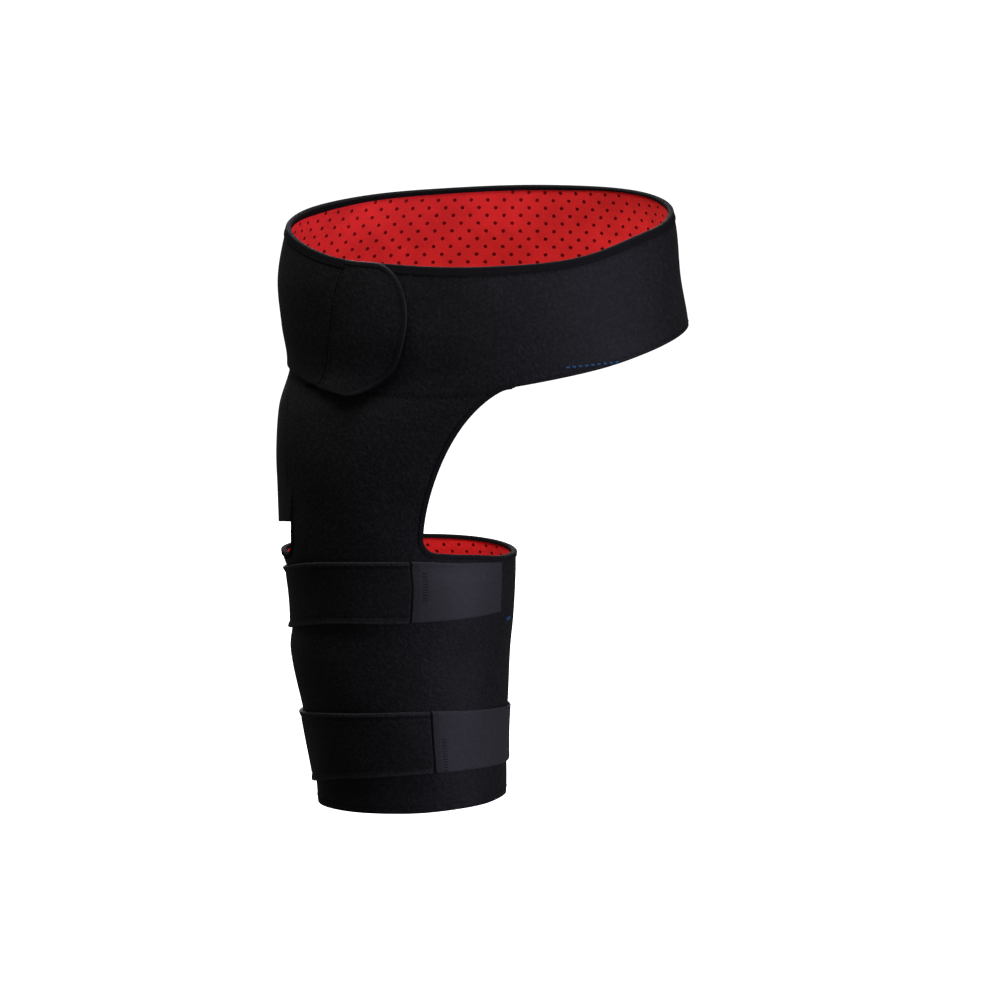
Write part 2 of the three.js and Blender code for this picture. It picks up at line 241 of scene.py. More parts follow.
@dataclass
class BodyForm:
    """The worn form: the outer face of the black shell before laps and bellies."""

    rows: tuple[FormRow, ...] = FORM_ROWS
    step: float = 0.5
    ripple: float = 0.45
    ripple_waves: Rows = ((5.0, 23.0), (2.0, 31.0), (9.0, -17.0))
    ripple_fine: float = 0.6

    @cached_property
    def sides(self) -> list[Curve]:
        """Give the curves of the left, right, front and back sides."""
        heights = [row.z for row in self.rows]
        return [Curve(heights, side) for side in list(zip(*self.rows))[1:]]

    def point(self, angle: Array, z: Array) -> Array:
        """Find points on the form.

        Args:
            angle: Degrees round the body.
            z: Heights.

        Returns:
            Points, with a last axis of three.
        """
        angle, z = np.broadcast_arrays(np.asarray(angle, float), np.asarray(z, float))
        left, right, front, back = (side(z) for side in self.sides)
        turn = np.radians(angle)
        x = (left + right) / 2 + (right - left) / 2 * np.cos(turn)
        y = (front + back) / 2 + (back - front) / 2 * np.sin(turn)
        return np.stack([x, y, z], axis=-1)

    def along(self, angle: Array, z: Array) -> Array:
        """Give the directions round the form."""
        return self.point(angle + self.step, z) - self.point(angle - self.step, z)

    def normal(self, angle: Array, z: Array) -> Array:
        """Give the outward directions of the form, as unit vectors."""
        upward = self.point(angle, z + self.step) - self.point(angle, z - self.step)
        return unit(np.cross(self.along(angle, z), upward))

    def slack(self, angle: Array, z: Array) -> Array:
        """Give the low, wide waves of cloth that is worn, the same for every layer.

        Args:
            angle: Degrees round the body.
            z: Heights.

        Returns:
            Distances off the form.
        """
        turn = np.radians(angle)
        wide, tall, fine = (np.sin(count * turn + z / reach) for count, reach in self.ripple_waves)
        return self.ripple * (wide * tall + self.ripple_fine * fine)

    def on(self, angle: Array, z: Array, proud: Array) -> Array:
        """Find points that stand proud of the form.

        Args:
            angle: Degrees round the body.
            z: Heights.
            proud: Distances off the form.

        Returns:
            Points, with a last axis of three.
        """
        angle, z = np.broadcast_arrays(np.asarray(angle, float), np.asarray(z, float))
        lift = np.asarray(proud, float) + self.slack(angle, z)
        return self.point(angle, z) + self.normal(angle, z) * np.expand_dims(lift, -1)

    def front_angle(self, x: Array, z: Array) -> Array:
        """Find the angle at which the front of the form has a given x.

        Args:
            x: Where it is read.
            z: Heights.

        Returns:
            Degrees from 180 to 360.
        """
        left, right = self.sides[0](z), self.sides[1](z)
        share = (x - (left + right) / 2) / ((right - left) / 2)
        return 360.0 - np.degrees(np.arccos(np.clip(share, -1.0, 1.0)))


FORM = BodyForm()


@dataclass(frozen=True)
class Cloth:
    """Thicknesses of the laminate's layers."""

    shell: float = 2.0
    lining: float = 1.4
    gap: float = 0.3

    @property
    def sunk(self) -> float:
        """Give the depth of the lining's outer face below the shell's."""
        return self.shell + self.gap

    @property
    def laminate(self) -> float:
        """Give the thickness of shell and lining together."""
        return self.sunk + self.lining


CLOTH = Cloth()


class Ruler:
    """Lengths round the form at one height, to space holes evenly."""

    def __init__(self, z: float, start: float, end: float) -> None:
        """Measure from one angle to another.

        Args:
            z: Height of the measure.
            start: First angle.
            end: Last angle.
        """
        self.angles = np.arange(start, end + RULER_STEP, RULER_STEP)
        self.lengths = lengths_along(FORM.point(self.angles, z))

    @property
    def full(self) -> float:
        """Give the whole length."""
        return float(self.lengths[-1])

    def angle(self, length: Array) -> Array:
        """Give the angle at a length."""
        return np.interp(length, self.lengths, self.angles)

    def length(self, angle: Array) -> Array:
        """Give the length to an angle."""
        return np.interp(angle, self.angles, self.lengths)


# Finishes
def grey(level: float) -> Colour:
    """Give a neutral colour."""
    return level, level, level


WHITE = grey(1.0)
COOL_TINT = (0.92, 0.91, 1.0, 1.0)


class Relief(NamedTuple):
    """One layer of a bumped normal, with its depth in metres."""

    height: Socket
    strength: float
    depth: float


class Graph:
    """Node tree of one material, with its main shader at hand."""

    # Numbers of a mix node's colour sockets
    MIX_SHARE = 0
    MIX_FIRST = 6
    MIX_SECOND = 7
    MIX_RESULT = 2

    def __init__(self, name: str) -> None:
        """Start a material with an empty principled shader.

        Args:
            name: The material's name.
        """
        self.material = bpy.data.materials.new(name)
        self.material.use_nodes = True
        self.tree = self.material.node_tree
        self.shader = self.tree.nodes["Principled BSDF"]

    def set(self, **values: object) -> None:
        """Set sockets of the main shader, named with underscores for spaces."""
        for name, value in values.items():
            self.shader.inputs[name.replace("_", " ")].default_value = value

    def node(self, kind: str, inputs: dict[str, object] | None = None, **settings: object) -> bpy.types.Node:
        """Add a node.

        Args:
            kind: Its Blender type.
            inputs: Socket values by name.
            settings: Its own settings.

        Returns:
            The node.
        """
        made = self.tree.nodes.new(kind)
        for name, value in settings.items():
            setattr(made, name, value)
        for name, value in (inputs or {}).items():
            made.inputs[name].default_value = value
        return made

    def link(self, start: Socket, end: Socket) -> None:
        """Join two sockets."""
        self.tree.links.new(start, end)

    def into(self, start: Socket, socket: str) -> None:
        """Join a socket to one of the main shader's."""
        self.link(start, self.shader.inputs[socket])

    def place(self, kind: str) -> Socket:
        """Give texture coordinates of a kind, such as Object or UV."""
        return self.node("ShaderNodeTexCoord").outputs[kind]

    def noise(self, where: Socket, scale: float, detail: float, rough: float) -> Socket:
        """Add a noise.

        Args:
            where: Coordinates.
            scale: Waves a metre.
            detail: Octaves.
            rough: Share that each octave keeps.

        Returns:
            Its value.
        """
        made = self.node("ShaderNodeTexNoise", {"Scale": scale, "Detail": detail, "Roughness": rough})
        self.link(where, made.inputs["Vector"])
        return made.outputs["Fac"]

    def ramp(self, value: Socket, stops: Sequence[tuple[float, Colour]]) -> Socket:
        """Turn a value into a colour.

        Args:
            value: What is read.
            stops: Places and their colours.

        Returns:
            The colour.
        """
        made = self.node("ShaderNodeValToRGB")
        elements = made.color_ramp.elements
        middle = 0.5
        while len(elements) < len(stops):
            elements.new(middle)
        for element, (place, colour) in zip(elements, stops):
            element.position = place
            element.color = (*colour, 1.0)
        self.link(value, made.inputs["Fac"])
        return made.outputs["Color"]

    def times(self, first: Socket, second: Socket) -> Socket:
        """Multiply two colours.

        Args:
            first: The colour that is changed.
            second: What it is multiplied by.

        Returns:
            The product.
        """
        made = self.node("ShaderNodeMix", data_type="RGBA", blend_type="MULTIPLY")
        made.inputs[self.MIX_SHARE].default_value = 1.0
        self.link(first, made.inputs[self.MIX_FIRST])
        self.link(second, made.inputs[self.MIX_SECOND])
        return made.outputs[self.MIX_RESULT]

    def bump(self, *layers: Relief) -> None:
        """Give the main shader a bumped normal.

        Args:
            layers: What it is made of, the first one deepest.
        """
        last = None
        for layer in layers:
            made = self.node("ShaderNodeBump", {"Strength": layer.strength, "Distance": layer.depth})
            self.link(layer.height, made.inputs["Height"])
            if last is not None:
                self.link(last, made.inputs["Normal"])
            last = made.outputs["Normal"]
        self.into(last, "Normal")


@dataclass(frozen=True)
class LoopCloth:
    """Brushed loop pile on neoprene: matte black with grey fibre specks."""

    name: str = "loop_pile"
    slot: Slot = Slot.LOOP
    deep: Colour = grey(0.0035)
    pile: Colour = grey(0.006)
    speck: Colour = (0.0115, 0.0115, 0.0117)
    fibres: float = 400.0
    clumps: float = 210.0
    wear: float = 16.0

    def material(self) -> bpy.types.Material:
        """Make the finish.

        Returns:
            The material.
        """
        graph = Graph(self.name)
        graph.set(Roughness=0.6, Specular_IOR_Level=0.08, Specular_Tint=COOL_TINT)
        where = graph.place("Object")
        fibre = graph.noise(where, self.fibres, detail=4.0, rough=0.7)
        clump = graph.noise(where, self.clumps, detail=3.0, rough=0.6)
        wear = graph.noise(where, self.wear, detail=3.0, rough=0.55)
        colour = graph.ramp(fibre, ((0.36, self.deep), (0.5, self.pile), (0.66, self.speck)))
        colour = graph.times(colour, graph.ramp(clump, ((0.3, grey(0.68)), (0.7, WHITE))))
        colour = graph.times(colour, graph.ramp(wear, ((0.3, grey(0.72)), (0.7, WHITE))))
        graph.into(colour, "Base Color")
        graph.bump(Relief(clump, strength=0.6, depth=0.0008), Relief(fibre, strength=0.8, depth=0.0007))
        return graph.material


@dataclass(frozen=True)
class RedLining:
    """Soft red neoprene lining; its holes are in the mesh."""

    name: str = "red_neoprene"
    slot: Slot = Slot.LINING
    base: Colour = (0.84, 0.025, 0.025)
    shade: Colour = (0.68, 0.0195, 0.0195)
    knit: float = 900.0
    broad: float = 40.0

    def material(self) -> bpy.types.Material:
        """Make the finish.

        Returns:
            The material.
        """
        graph = Graph(self.name)
        graph.set(Roughness=0.8, Specular_IOR_Level=0.12)
        graph.set(Sheen_Weight=0.04, Sheen_Roughness=0.5, Sheen_Tint=(1.0, 0.45, 0.4, 1.0))
        where = graph.place("Object")
        knit = graph.noise(where, self.knit, detail=3.0, rough=0.6)
        broad = graph.noise(where, self.broad, detail=3.0, rough=0.55)
        colour = graph.ramp(broad, ((0.3, self.shade), (0.7, self.base)))
        colour = graph.times(colour, graph.ramp(knit, ((0.3, grey(0.86)), (0.65, WHITE))))
        graph.into(colour, "Base Color")
        graph.bump(Relief(knit, strength=0.35, depth=0.0002), Relief(broad, strength=0.2, depth=0.0012))
        return graph.material


@dataclass(frozen=True)
class WovenTape:
    """Smooth woven tape: fine ribs across its run, with a slight sheen."""

    name: str
    slot: Slot
    dark: Colour
    light: Colour
    roughness: float
    gloss: float
    sheen: float = 0.0
    ribs: float = 260.0
    weft_share: float = 0.75
    fluff: float = 420.0

    def material(self) -> bpy.types.Material:
        """Make the finish.

        Returns:
            The material.
        """
        graph = Graph(self.name)
        graph.set(Roughness=self.roughness, Specular_IOR_Level=self.gloss, Specular_Tint=COOL_TINT)
        graph.set(Sheen_Weight=self.sheen, Sheen_Roughness=0.4, Sheen_Tint=(0.8, 0.8, 0.95, 1.0))
        where = graph.place("UV")
        warp = self.wave(graph, where, "X", self.ribs)
        weft = self.wave(graph, where, "Y", self.ribs * self.weft_share)
        fluff = graph.noise(graph.place("Object"), self.fluff, detail=4.0, rough=0.65)
        colour = graph.ramp(fluff, ((0.3, self.dark), (0.7, self.light)))
        colour = graph.times(colour, graph.ramp(warp, ((0.1, grey(0.8)), (0.8, WHITE))))
        graph.into(colour, "Base Color")
        graph.bump(
            Relief(warp, strength=0.35, depth=0.00012),
            Relief(weft, strength=0.3, depth=0.0001),
            Relief(fluff, strength=0.25, depth=0.0002),
        )
        return graph.material

    def wave(self, graph: Graph, where: Socket, way: str, count: float) -> Socket:
        """Add the threads of one direction.

        Args:
            graph: The material's nodes.
            where: Cloth coordinates.
            way: Axis that the threads follow each other along.
            count: How close they are.

        Returns:
            Height of the threads.
        """
        made = graph.node("ShaderNodeTexWave", {"Scale": count, "Distortion": 0.6, "Detail": 1.0})
        made.bands_direction = way
        graph.link(where, made.inputs["Vector"])
        return made.outputs["Fac"]


@dataclass(frozen=True)
class Thread:
    """Sewing thread, lightly twisted."""

    name: str
    colour: Colour
    slot: Slot = Slot.TAPE
    twist: float = 1500.0
    dim: float = 0.6

    def material(self) -> bpy.types.Material:
        """Make the finish.

        Returns:
            The material.
        """
        graph = Graph(self.name)
        graph.set(Roughness=0.8, Specular_IOR_Level=0.05)
        twist = graph.noise(graph.place("Object"), self.twist, detail=2.0, rough=0.5)
        dim = tuple(self.dim * part for part in self.colour)
        graph.into(graph.ramp(twist, ((0.3, dim), (0.7, self.colour))), "Base Color")
        graph.bump(Relief(twist, strength=0.5, depth=0.0001))
        return graph.material


LOOP_CLOTH = LoopCloth()
# Lighter copy of the loop cloth for the strap hems: a painted highlight standing in for the light caught by
# the rolled hem edges.
STRAP_HEM_HIGHLIGHT = LoopCloth(
    "strap_hem_painted_highlight", deep=grey(0.008), pile=(0.0145, 0.0145, 0.0148), speck=(0.022, 0.022, 0.023),
)
RED_LINING = RedLining()
# Darker red for the floors and walls of the lining's holes: painted shade in the recesses.
HOLE_SHADE_RED = RedLining("hole_painted_shade", base=(0.34, 0.01, 0.01), shade=(0.28, 0.008, 0.008))
BINDING = WovenTape(
    "edge_tape", Slot.TAPE, (0.0022, 0.0022, 0.0023), (0.0044, 0.0044, 0.0047),
    roughness=0.75, gloss=0.05,
)
# Lighter copy of the edge tape for the arch and cuff rims: painted light, brightened to match the key-lit
# panel beside the arch; the rear rim tape wears it too.
LIGHTENED_EDGE_TAPE = WovenTape(
    "edge_tape_painted_light", Slot.TAPE, (0.0044, 0.0044, 0.0047), (0.0084, 0.0084, 0.0089),
    roughness=0.8, gloss=0.03,
)
FLAP_EDGE = WovenTape(
    "flap_edge_tape", Slot.TAPE, (0.003, 0.003, 0.0032), (0.0056, 0.0056, 0.006),
    roughness=0.5, gloss=0.1,
)
HOOK_BACK = WovenTape(
    "hook_back", Slot.HOOK, (0.0117, 0.0113, 0.0122), (0.0192, 0.0186, 0.0199),
    roughness=0.6, gloss=0.13, sheen=0.006, ribs=300.0,
)
STRAP_BAND = WovenTape(
    "strap_band", Slot.HOOK, (0.0106, 0.0104, 0.011), (0.0176, 0.0172, 0.0182),
    roughness=0.65, gloss=0.1, sheen=0.004, ribs=300.0,
)
BLACK_THREAD = Thread("black_thread", (0.0035, 0.0035, 0.0038))
BLUE_THREAD = Thread("blue_thread", (0.015, 0.05, 0.1))
Finish = LoopCloth | RedLining | WovenTape | Thread


class Wardrobe:
    """Makes each finish once and hands it to the pieces that wear it."""

    made: dict[str, bpy.types.Material] = {}

    @classmethod
    def dress(
        cls, piece: Piece, finish: Finish, nodes: Sequence[str] = (), inside: Finish | None = None
    ) -> None:
        """Give a piece its finish, its body and the solids that it stands for.

        Args:
            piece: The finished mesh.
            finish: What it is made of.
            nodes: Solids that it replaces.
            inside: Darker finish on the inside of its holes, painted shade.
        """
        for worn in (finish, inside) if inside else (finish,):
            if worn.name not in cls.made:
                cls.made[worn.name] = worn.material()
            piece.data.materials.append(cls.made[worn.name])
        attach(piece, BODY)
        if nodes:
            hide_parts(*nodes)
        LOG.info("%s: %d faces in %s", piece.name, len(piece.data.polygons), finish.name)


# Builders of cloth, tape and thread
def make_piece(name: str, points: Array, faces: Sequence[Sequence[int]], cloth: Array | None = None) -> Piece:
    """Turn points and faces into an object.

    Args:
        name: The piece's name.
        points: Places in millimetres.
        faces: Corner numbers of each face.
        cloth: Place of each point on the flat cloth, in millimetres.

    Returns:
        The object, smooth apart from its sharp edges.
    """
    mesh = bpy.data.meshes.new(name)
    mesh.from_pydata((np.asarray(points) * MM).tolist(), [], [tuple(map(int, face)) for face in faces])
    mesh.polygons.foreach_set("use_smooth", np.ones(len(mesh.polygons), bool))
    mesh.set_sharp_from_angle(angle=math.radians(SHARP_DEGREES))
    if cloth is not None:
        corners = np.empty(len(mesh.loops), np.int32)
        mesh.loops.foreach_get("vertex_index", corners)
        layer = mesh.uv_layers.new(name="cloth")
        layer.data.foreach_set("uv", (np.asarray(cloth)[corners] * MM).astype(np.float32).ravel())
    mesh.update()
    piece = bpy.data.objects.new(name, mesh)
    bpy.context.scene.collection.objects.link(piece)
    return piece


def rounded_shares(size: float, steps: int, radius: float) -> Array:
    """Space the lines of a sheet: even steps, and closer ones over its rounded edges.

    Args:
        size: Length of the side in millimetres.
        steps: Even steps between the edges.
        radius: Radius of the edges.

    Returns:
        Shares of the side from 0 to 1.
    """
    near = radius * (1.0 - np.cos(np.linspace(0.0, np.pi / 2, ROUNDED_LINES + 1)))[:-1]
    middle = np.linspace(radius, size - radius, steps + 1)
    return np.concatenate([near, middle, size - near[::-1]]) / size


@dataclass
class Wall:
    """A closed sheet of cloth with rounded edges."""

    name: str
    place: Place
    size: Pair
    grid: Grid
    thick: float = CLOTH.shell

    def build(self, finish: Finish, *nodes: str) -> Piece:
        """Make the sheet and dress it.

        Args:
            finish: What it is made of.
            nodes: Solids that it replaces.

        Returns:
            The dressed object.
        """
        length, height = self.size
        radius = self.thick / 2
        lines = [rounded_shares(side, steps, radius) for side, steps in zip(self.size, self.grid)]
        across, up = np.meshgrid(*lines, indexing="ij")
        to_end = np.minimum(across, 1 - across) * length
        to_edge = np.minimum(up, 1 - up) * height
        inside = np.maximum(radius - np.minimum(to_end, to_edge), 0.0)
        inset = radius - np.sqrt(np.maximum(radius**2 - inside**2, 0.0))
        outer = self.place(across, up, inset).reshape(-1, 3)
        inner = self.place(across, up, self.thick - inset)[1:-1, 1:-1].reshape(-1, 3)
        front = np.arange(across.size).reshape(across.shape)
        back = front.copy()
        back[1:-1, 1:-1] = across.size + np.arange(len(inner)).reshape(back[1:-1, 1:-1].shape)
        faces = np.concatenate([self.quads(front), self.quads(back)[:, ::-1]])
        cloth = np.stack([across * length, up * height], axis=-1)
        cloth = np.concatenate([cloth.reshape(-1, 2), cloth[1:-1, 1:-1].reshape(-1, 2)])
        piece = make_piece(self.name, np.concatenate([outer, inner]), faces, cloth)
        Wardrobe.dress(piece, finish, nodes)
        return piece

    @staticmethod
    def quads(numbers: Array) -> Array:
        """Give the four corners of each cell of a grid of point numbers."""
        cells = [numbers[:-1, :-1], numbers[1:, :-1], numbers[1:, 1:], numbers[:-1, 1:]]
        return np.stack(cells, axis=-1).reshape(-1, 4)


@dataclass
class PerforatedSheet:
    """A closed lining with staggered round holes on its inner face, cut to an outline; the holes' floors and
    walls are painted a darker red as shade.

    Its lattice is in lengths round the form and heights. The outline moves a lattice point that is outside
    back onto the edge.
    """

    name: str
    outline: Outline
    place: Place
    length: float
    heights: Pair
    pitch: float = 16.3
    row: float = 7.25
    radius: float = 1.85
    floor: float = 0.1
    thick: float = CLOTH.lining

    def build(self, node: str) -> Piece:
        """Make the sheet and dress it.

        Args:
            node: Solid that it replaces.

        Returns:
            The dressed object.
        """
        spots, faces, rings = self.welded(*self.lattice())
        count = len(spots)
        whole = [*faces, *rings]
        edges = {(face[k - 1], face[k]) for face in whole for k in range(len(face))}
        rim = [edge for edge in edges if edge[::-1] not in edges]
        closed = [*whole]
        closed += [tuple(count + corner for corner in face[::-1]) for face in faces]
        closed += [(b, a, count + a, count + b) for a, b in rim]
        outside = len(closed)
        deep = {corner: 2 * count + k for k, corner in enumerate(c for ring in rings for c in ring)}
        for ring in rings:
            closed.append(tuple(deep[corner] for corner in ring[::-1]))
            pairs = zip(ring, ring[1:] + ring[:1])
            closed += [(deep[a], deep[b], count + b, count + a) for a, b in pairs]
        base = spots[list(deep)]
        layers = ((spots, 0.0), (spots, self.thick), (base, self.floor))
        points = [self.place(*flat.T, np.full(len(flat), depth)) for flat, depth in layers]
        piece = make_piece(self.name, np.concatenate(points), closed, np.concatenate([spots, spots, base]))
        # Hole floors and walls take the second, darker red: painted shade inside the holes.
        piece.data.polygons.foreach_set("material_index", np.arange(len(closed), dtype=np.int32) >= outside)
        Wardrobe.dress(piece, RED_LINING, [node], HOLE_SHADE_RED)
        return piece

    def lattice(self) -> tuple[Array, list[Face], list[Face]]:
        """Lay out the cells, each with a hole unless it is at the outline.

        Returns:
            Places as length and height, the faces, and the ring of each hole.
        """
        half = self.pitch / 2
        columns = math.ceil(self.length / half)
        rows = math.ceil((self.heights[1] - self.heights[0]) / self.row)
        i, k = np.meshgrid(np.arange(columns + 1), np.arange(2 * rows + 1), indexing="ij")
        length = i * half
        z = self.heights[0] + k * self.row / 2
        kept, kept_z = self.outline(length, z)
        free = (np.abs(kept - length) < TOUCH) & (np.abs(kept_z - z) < TOUCH)
        number = np.arange(length.size).reshape(length.shape)
        spots = [np.stack([kept, kept_z], axis=-1).reshape(-1, 2)]
        count = length.size
        faces: list[Face] = []
        rings: list[Face] = []
        ring = np.radians(np.arange(HOLE_CORNERS) * 360.0 / HOLE_CORNERS + FIRST_CORNER)
        hole = np.stack([np.cos(ring), np.sin(ring)], axis=-1) * self.radius
        for level in range(rows):
            low, mid, high = 2 * level, 2 * level + 1, 2 * level + 2
            first = level % 2
            if first:
                faces += self.plain(number, 0, low)
            for c in range(first, columns, 2):
                if c + 1 >= columns:
                    faces += self.plain(number, c, low)
                    continue
                way = [(c, low), (c + 1, low), (c + 2, low), (c + 2, mid)]
                way += [(c + 2, high), (c + 1, high), (c, high), (c, mid)]
                if not all(free[step] for step in way):
                    faces += self.plain(number, c, low) + self.plain(number, c + 1, low)
                    continue
                spots.append(hole + [length[c + 1, mid], z[c + 1, mid]])
                round_it = [int(number[step]) for step in way]
                for side in range(HOLE_CORNERS):
                    after = (side + 1) % HOLE_CORNERS
                    faces.append((round_it[side], round_it[after], count + after, count + side))
                rings.append(tuple(range(count, count + HOLE_CORNERS)))
                count += HOLE_CORNERS
        return np.concatenate(spots), faces, rings

    @staticmethod
    def plain(number: Array, column: int, low: int) -> list[Face]:
        """Give half a cell with no hole, as two quads."""
        left, right = number[column, low : low + 3], number[column + 1, low : low + 3]
        return [(int(left[k]), int(right[k]), int(right[k + 1]), int(left[k + 1])) for k in range(2)]

    @staticmethod
    def welded(
        spots: Array, faces: list[Face], rings: list[Face]
    ) -> tuple[Array, list[Face], list[Face]]:
        """Join places that the outline brought together, and drop the faces that this closes.

        Args:
            spots: Places as length and height.
            faces: Their faces.
            rings: The rings of the holes.

        Returns:
            The places left, the faces left and the rings.
        """
        near = np.round(spots, WELD_DIGITS)
        _, first, same = np.unique(near, axis=0, return_index=True, return_inverse=True)
        same = same.ravel()
        left = []
        for face in faces:
            corners = list(dict.fromkeys(int(same[corner]) for corner in face))
            if len(corners) > 2:
                left.append(tuple(corners))
        used = np.unique([corner for face in left for corner in face])
        order = np.full(len(first), -1)
        order[used] = np.arange(len(used))
        kept = [tuple(int(order[corner]) for corner in face) for face in left]
        kept_rings = [tuple(int(order[same[corner]]) for corner in ring) for ring in rings]
        return spots[first[used]], kept, kept_rings


@dataclass
class FoldedTape:
    """A tape folded over an edge of cloth, with a round fold.

    The widths of its legs are measured from the edge. The lines are those that its section is drawn with.
    """

    name: str
    finish: Finish
    outer: float
    inner: float
    cloth: float
    gap: float = 0.1
    thick: float = 0.7
    nose: float = 1.0
    leg_end: float = 0.5
    outer_lines: int = 4
    inner_lines: int = 3
    fold_lines: int = 9

    def section(self) -> Array:
        """Draw the tape's closed section: x points off the edge and y out of the face.

        Returns:
            Corners of the section.
        """
        rise = self.gap + self.thick / 2
        middle = -self.cloth / 2
        turn = np.linspace(np.pi / 2, -np.pi / 2, self.fold_lines)
        fold = np.stack([self.nose * np.cos(turn), middle + (rise - middle) * np.sin(turn)], axis=-1)
        start_x = np.linspace(-self.outer, -self.leg_end, self.outer_lines)
        start = np.stack([start_x, np.full(self.outer_lines, rise)], axis=-1)
        end_x = np.linspace(-self.leg_end, -self.inner, self.inner_lines)
        end = np.stack([end_x, np.full(self.inner_lines, -self.cloth - rise)], axis=-1)
        line = np.concatenate([start, fold, end])
        way = unit(np.gradient(line, axis=0))
        side = np.stack([-way[:, 1], way[:, 0]], axis=-1) * self.thick / 2
        return np.concatenate([line + side, (line - side)[::-1]])

    def build(
        self, angle: Array, z: Array, proud: Array, nodes: Sequence[str] = (), inner: Array | None = None
    ) -> Piece:
        """Sweep the section along an edge and dress the tape.

        Args:
            angle: Degrees of the stops along the edge.
            z: Their heights.
            proud: How proud of the form the cloth's face is there.
            nodes: Solids that it replaces.
            inner: Width of the inner leg at each stop, where it varies.

        Returns:
            The dressed object.
        """
        section = self.section()
        leg = (section[:, 0] < 0.0) & (section[:, 1] < -self.cloth)
        share = np.ones(len(angle)) if inner is None else inner / self.inner
        reach = section[:, 0] * np.where(leg, share[:, None], 1.0)
        points = FORM.on(angle, z, proud)
        out = FORM.normal(angle, z)
        off = unit(np.cross(out, np.gradient(points, axis=0)))
        rings = points[:, None] + off[:, None] * reach[..., None] + out[:, None] * section[None, :, 1:]
        count = len(section)
        number = np.arange(len(points) * count).reshape(len(points), count)
        number = np.concatenate([number, number[:, :1]], axis=1)
        faces = [tuple(face) for face in Wall.quads(number)[:, ::-1]]
        faces += [tuple(number[0, :-1]), tuple(number[-1, :-1][::-1])]
        flat = np.meshgrid(lengths_along(points), lengths_along(section), indexing="ij")
        cloth = np.stack(flat, axis=-1).reshape(-1, 2)
        piece = make_piece(self.name, rings.reshape(-1, 3), faces, cloth)
        Wardrobe.dress(piece, self.finish, nodes)
        return piece


@dataclass
class Stitches:
    """Rows of stitches of one thread, gathered into one mesh.

    A stitch is full over a share of its length, and its two tips dive into the cloth.
    """

    name: str
    finish: Thread = BLACK_THREAD
    width: float = 0.55
    lift: float = 0.1
    full: float = 0.7
    dive: float = 0.7
    points: list[Array] = field(default_factory=list)

    def marks(self, centre: Array, along: Array, out: Array, length: float) -> None:
        """Add single stitches.

        Args:
            centre: Where each lies.
            along: Which way each runs.
            out: Which way is out of the cloth.
            length: How long each is.
        """
        along = unit(along)
        side = np.cross(out, along)
        turn = np.radians(np.arange(THREAD_SIDES) * 360.0 / THREAD_SIDES)
        body = np.array([[x, np.cos(a), np.sin(a)] for x in (-self.full, self.full) for a in turn])
        shape = np.concatenate([[[-1.0, 0.0, -self.dive]], body, [[1.0, 0.0, -self.dive]]])
        shape = shape * [length / 2, self.width / 2, self.width / 2]
        for spot, way, over, up in zip(centre, along, side, out):
            self.points.append(spot + up * self.lift + shape @ np.stack([way, over, up]))

    def run(self, angle: Array, z: Array, proud: Array, length: float = 2.4, pitch: float = 3.4) -> None:
        """Add a straight-stitched row."""
        self.sewn(angle, z, proud, length, pitch, 0.0)

    def zigzag(self, angle: Array, z: Array, proud: Array, reach: float, pitch: float = 2.2) -> None:
        """Add a zigzag row that reaches to both sides of its line."""
        self.sewn(angle, z, proud, math.hypot(2 * reach, pitch), pitch, reach)

    def sewn(self, angle: Array, z: Array, proud: Array, length: float, pitch: float, reach: float) -> None:
        """Space stitches along a row and slant them if they zigzag.

        Args:
            angle: Degrees along the row.
            z: Heights along it.
            proud: How proud the cloth is there.
            length: Length of a stitch.
            pitch: From one stitch to the next.
            reach: How far a zigzag goes to each side.
        """
        angle, z, proud = np.broadcast_arrays(np.asarray(angle, float), z, proud)
        line = FORM.on(angle, z, proud)
        run = lengths_along(line)
        stops = np.arange(pitch / 2, run[-1], pitch)
        angles, heights = np.interp(stops, run, angle), np.interp(stops, run, z)
        centre = FORM.on(angles, heights, np.interp(stops, run, proud))
        out = FORM.normal(angles, heights)
        slopes = np.gradient(line, run, axis=0)
        along = np.stack([np.interp(stops, run, slope) for slope in slopes.T], axis=-1)
        sign = np.where(np.arange(len(stops)) % 2, 1.0, -1.0)[:, None]
        self.marks(centre, along * pitch + sign * 2 * reach * np.cross(out, along), out, length)

    def build(self) -> Piece:
        """Join the stitches into one piece and dress it.

        Returns:
            The dressed object.
        """
        sides = [(1 + k, 1 + (k + 1) % THREAD_SIDES) for k in range(THREAD_SIDES)]
        far, tip = THREAD_SIDES, 2 * THREAD_SIDES + 1
        one = [(0, after, near) for near, after in sides]
        one += [(near, after, far + after, far + near) for near, after in sides]
        one += [(tip, far + near, far + after) for near, after in sides]
        starts = [(tip + 1) * n for n in range(len(self.points))]
        faces = [tuple(start + corner for corner in face) for start in starts for face in one]
        piece = make_piece(self.name, np.concatenate(self.points), faces)
        Wardrobe.dress(piece, self.finish)
        return piece


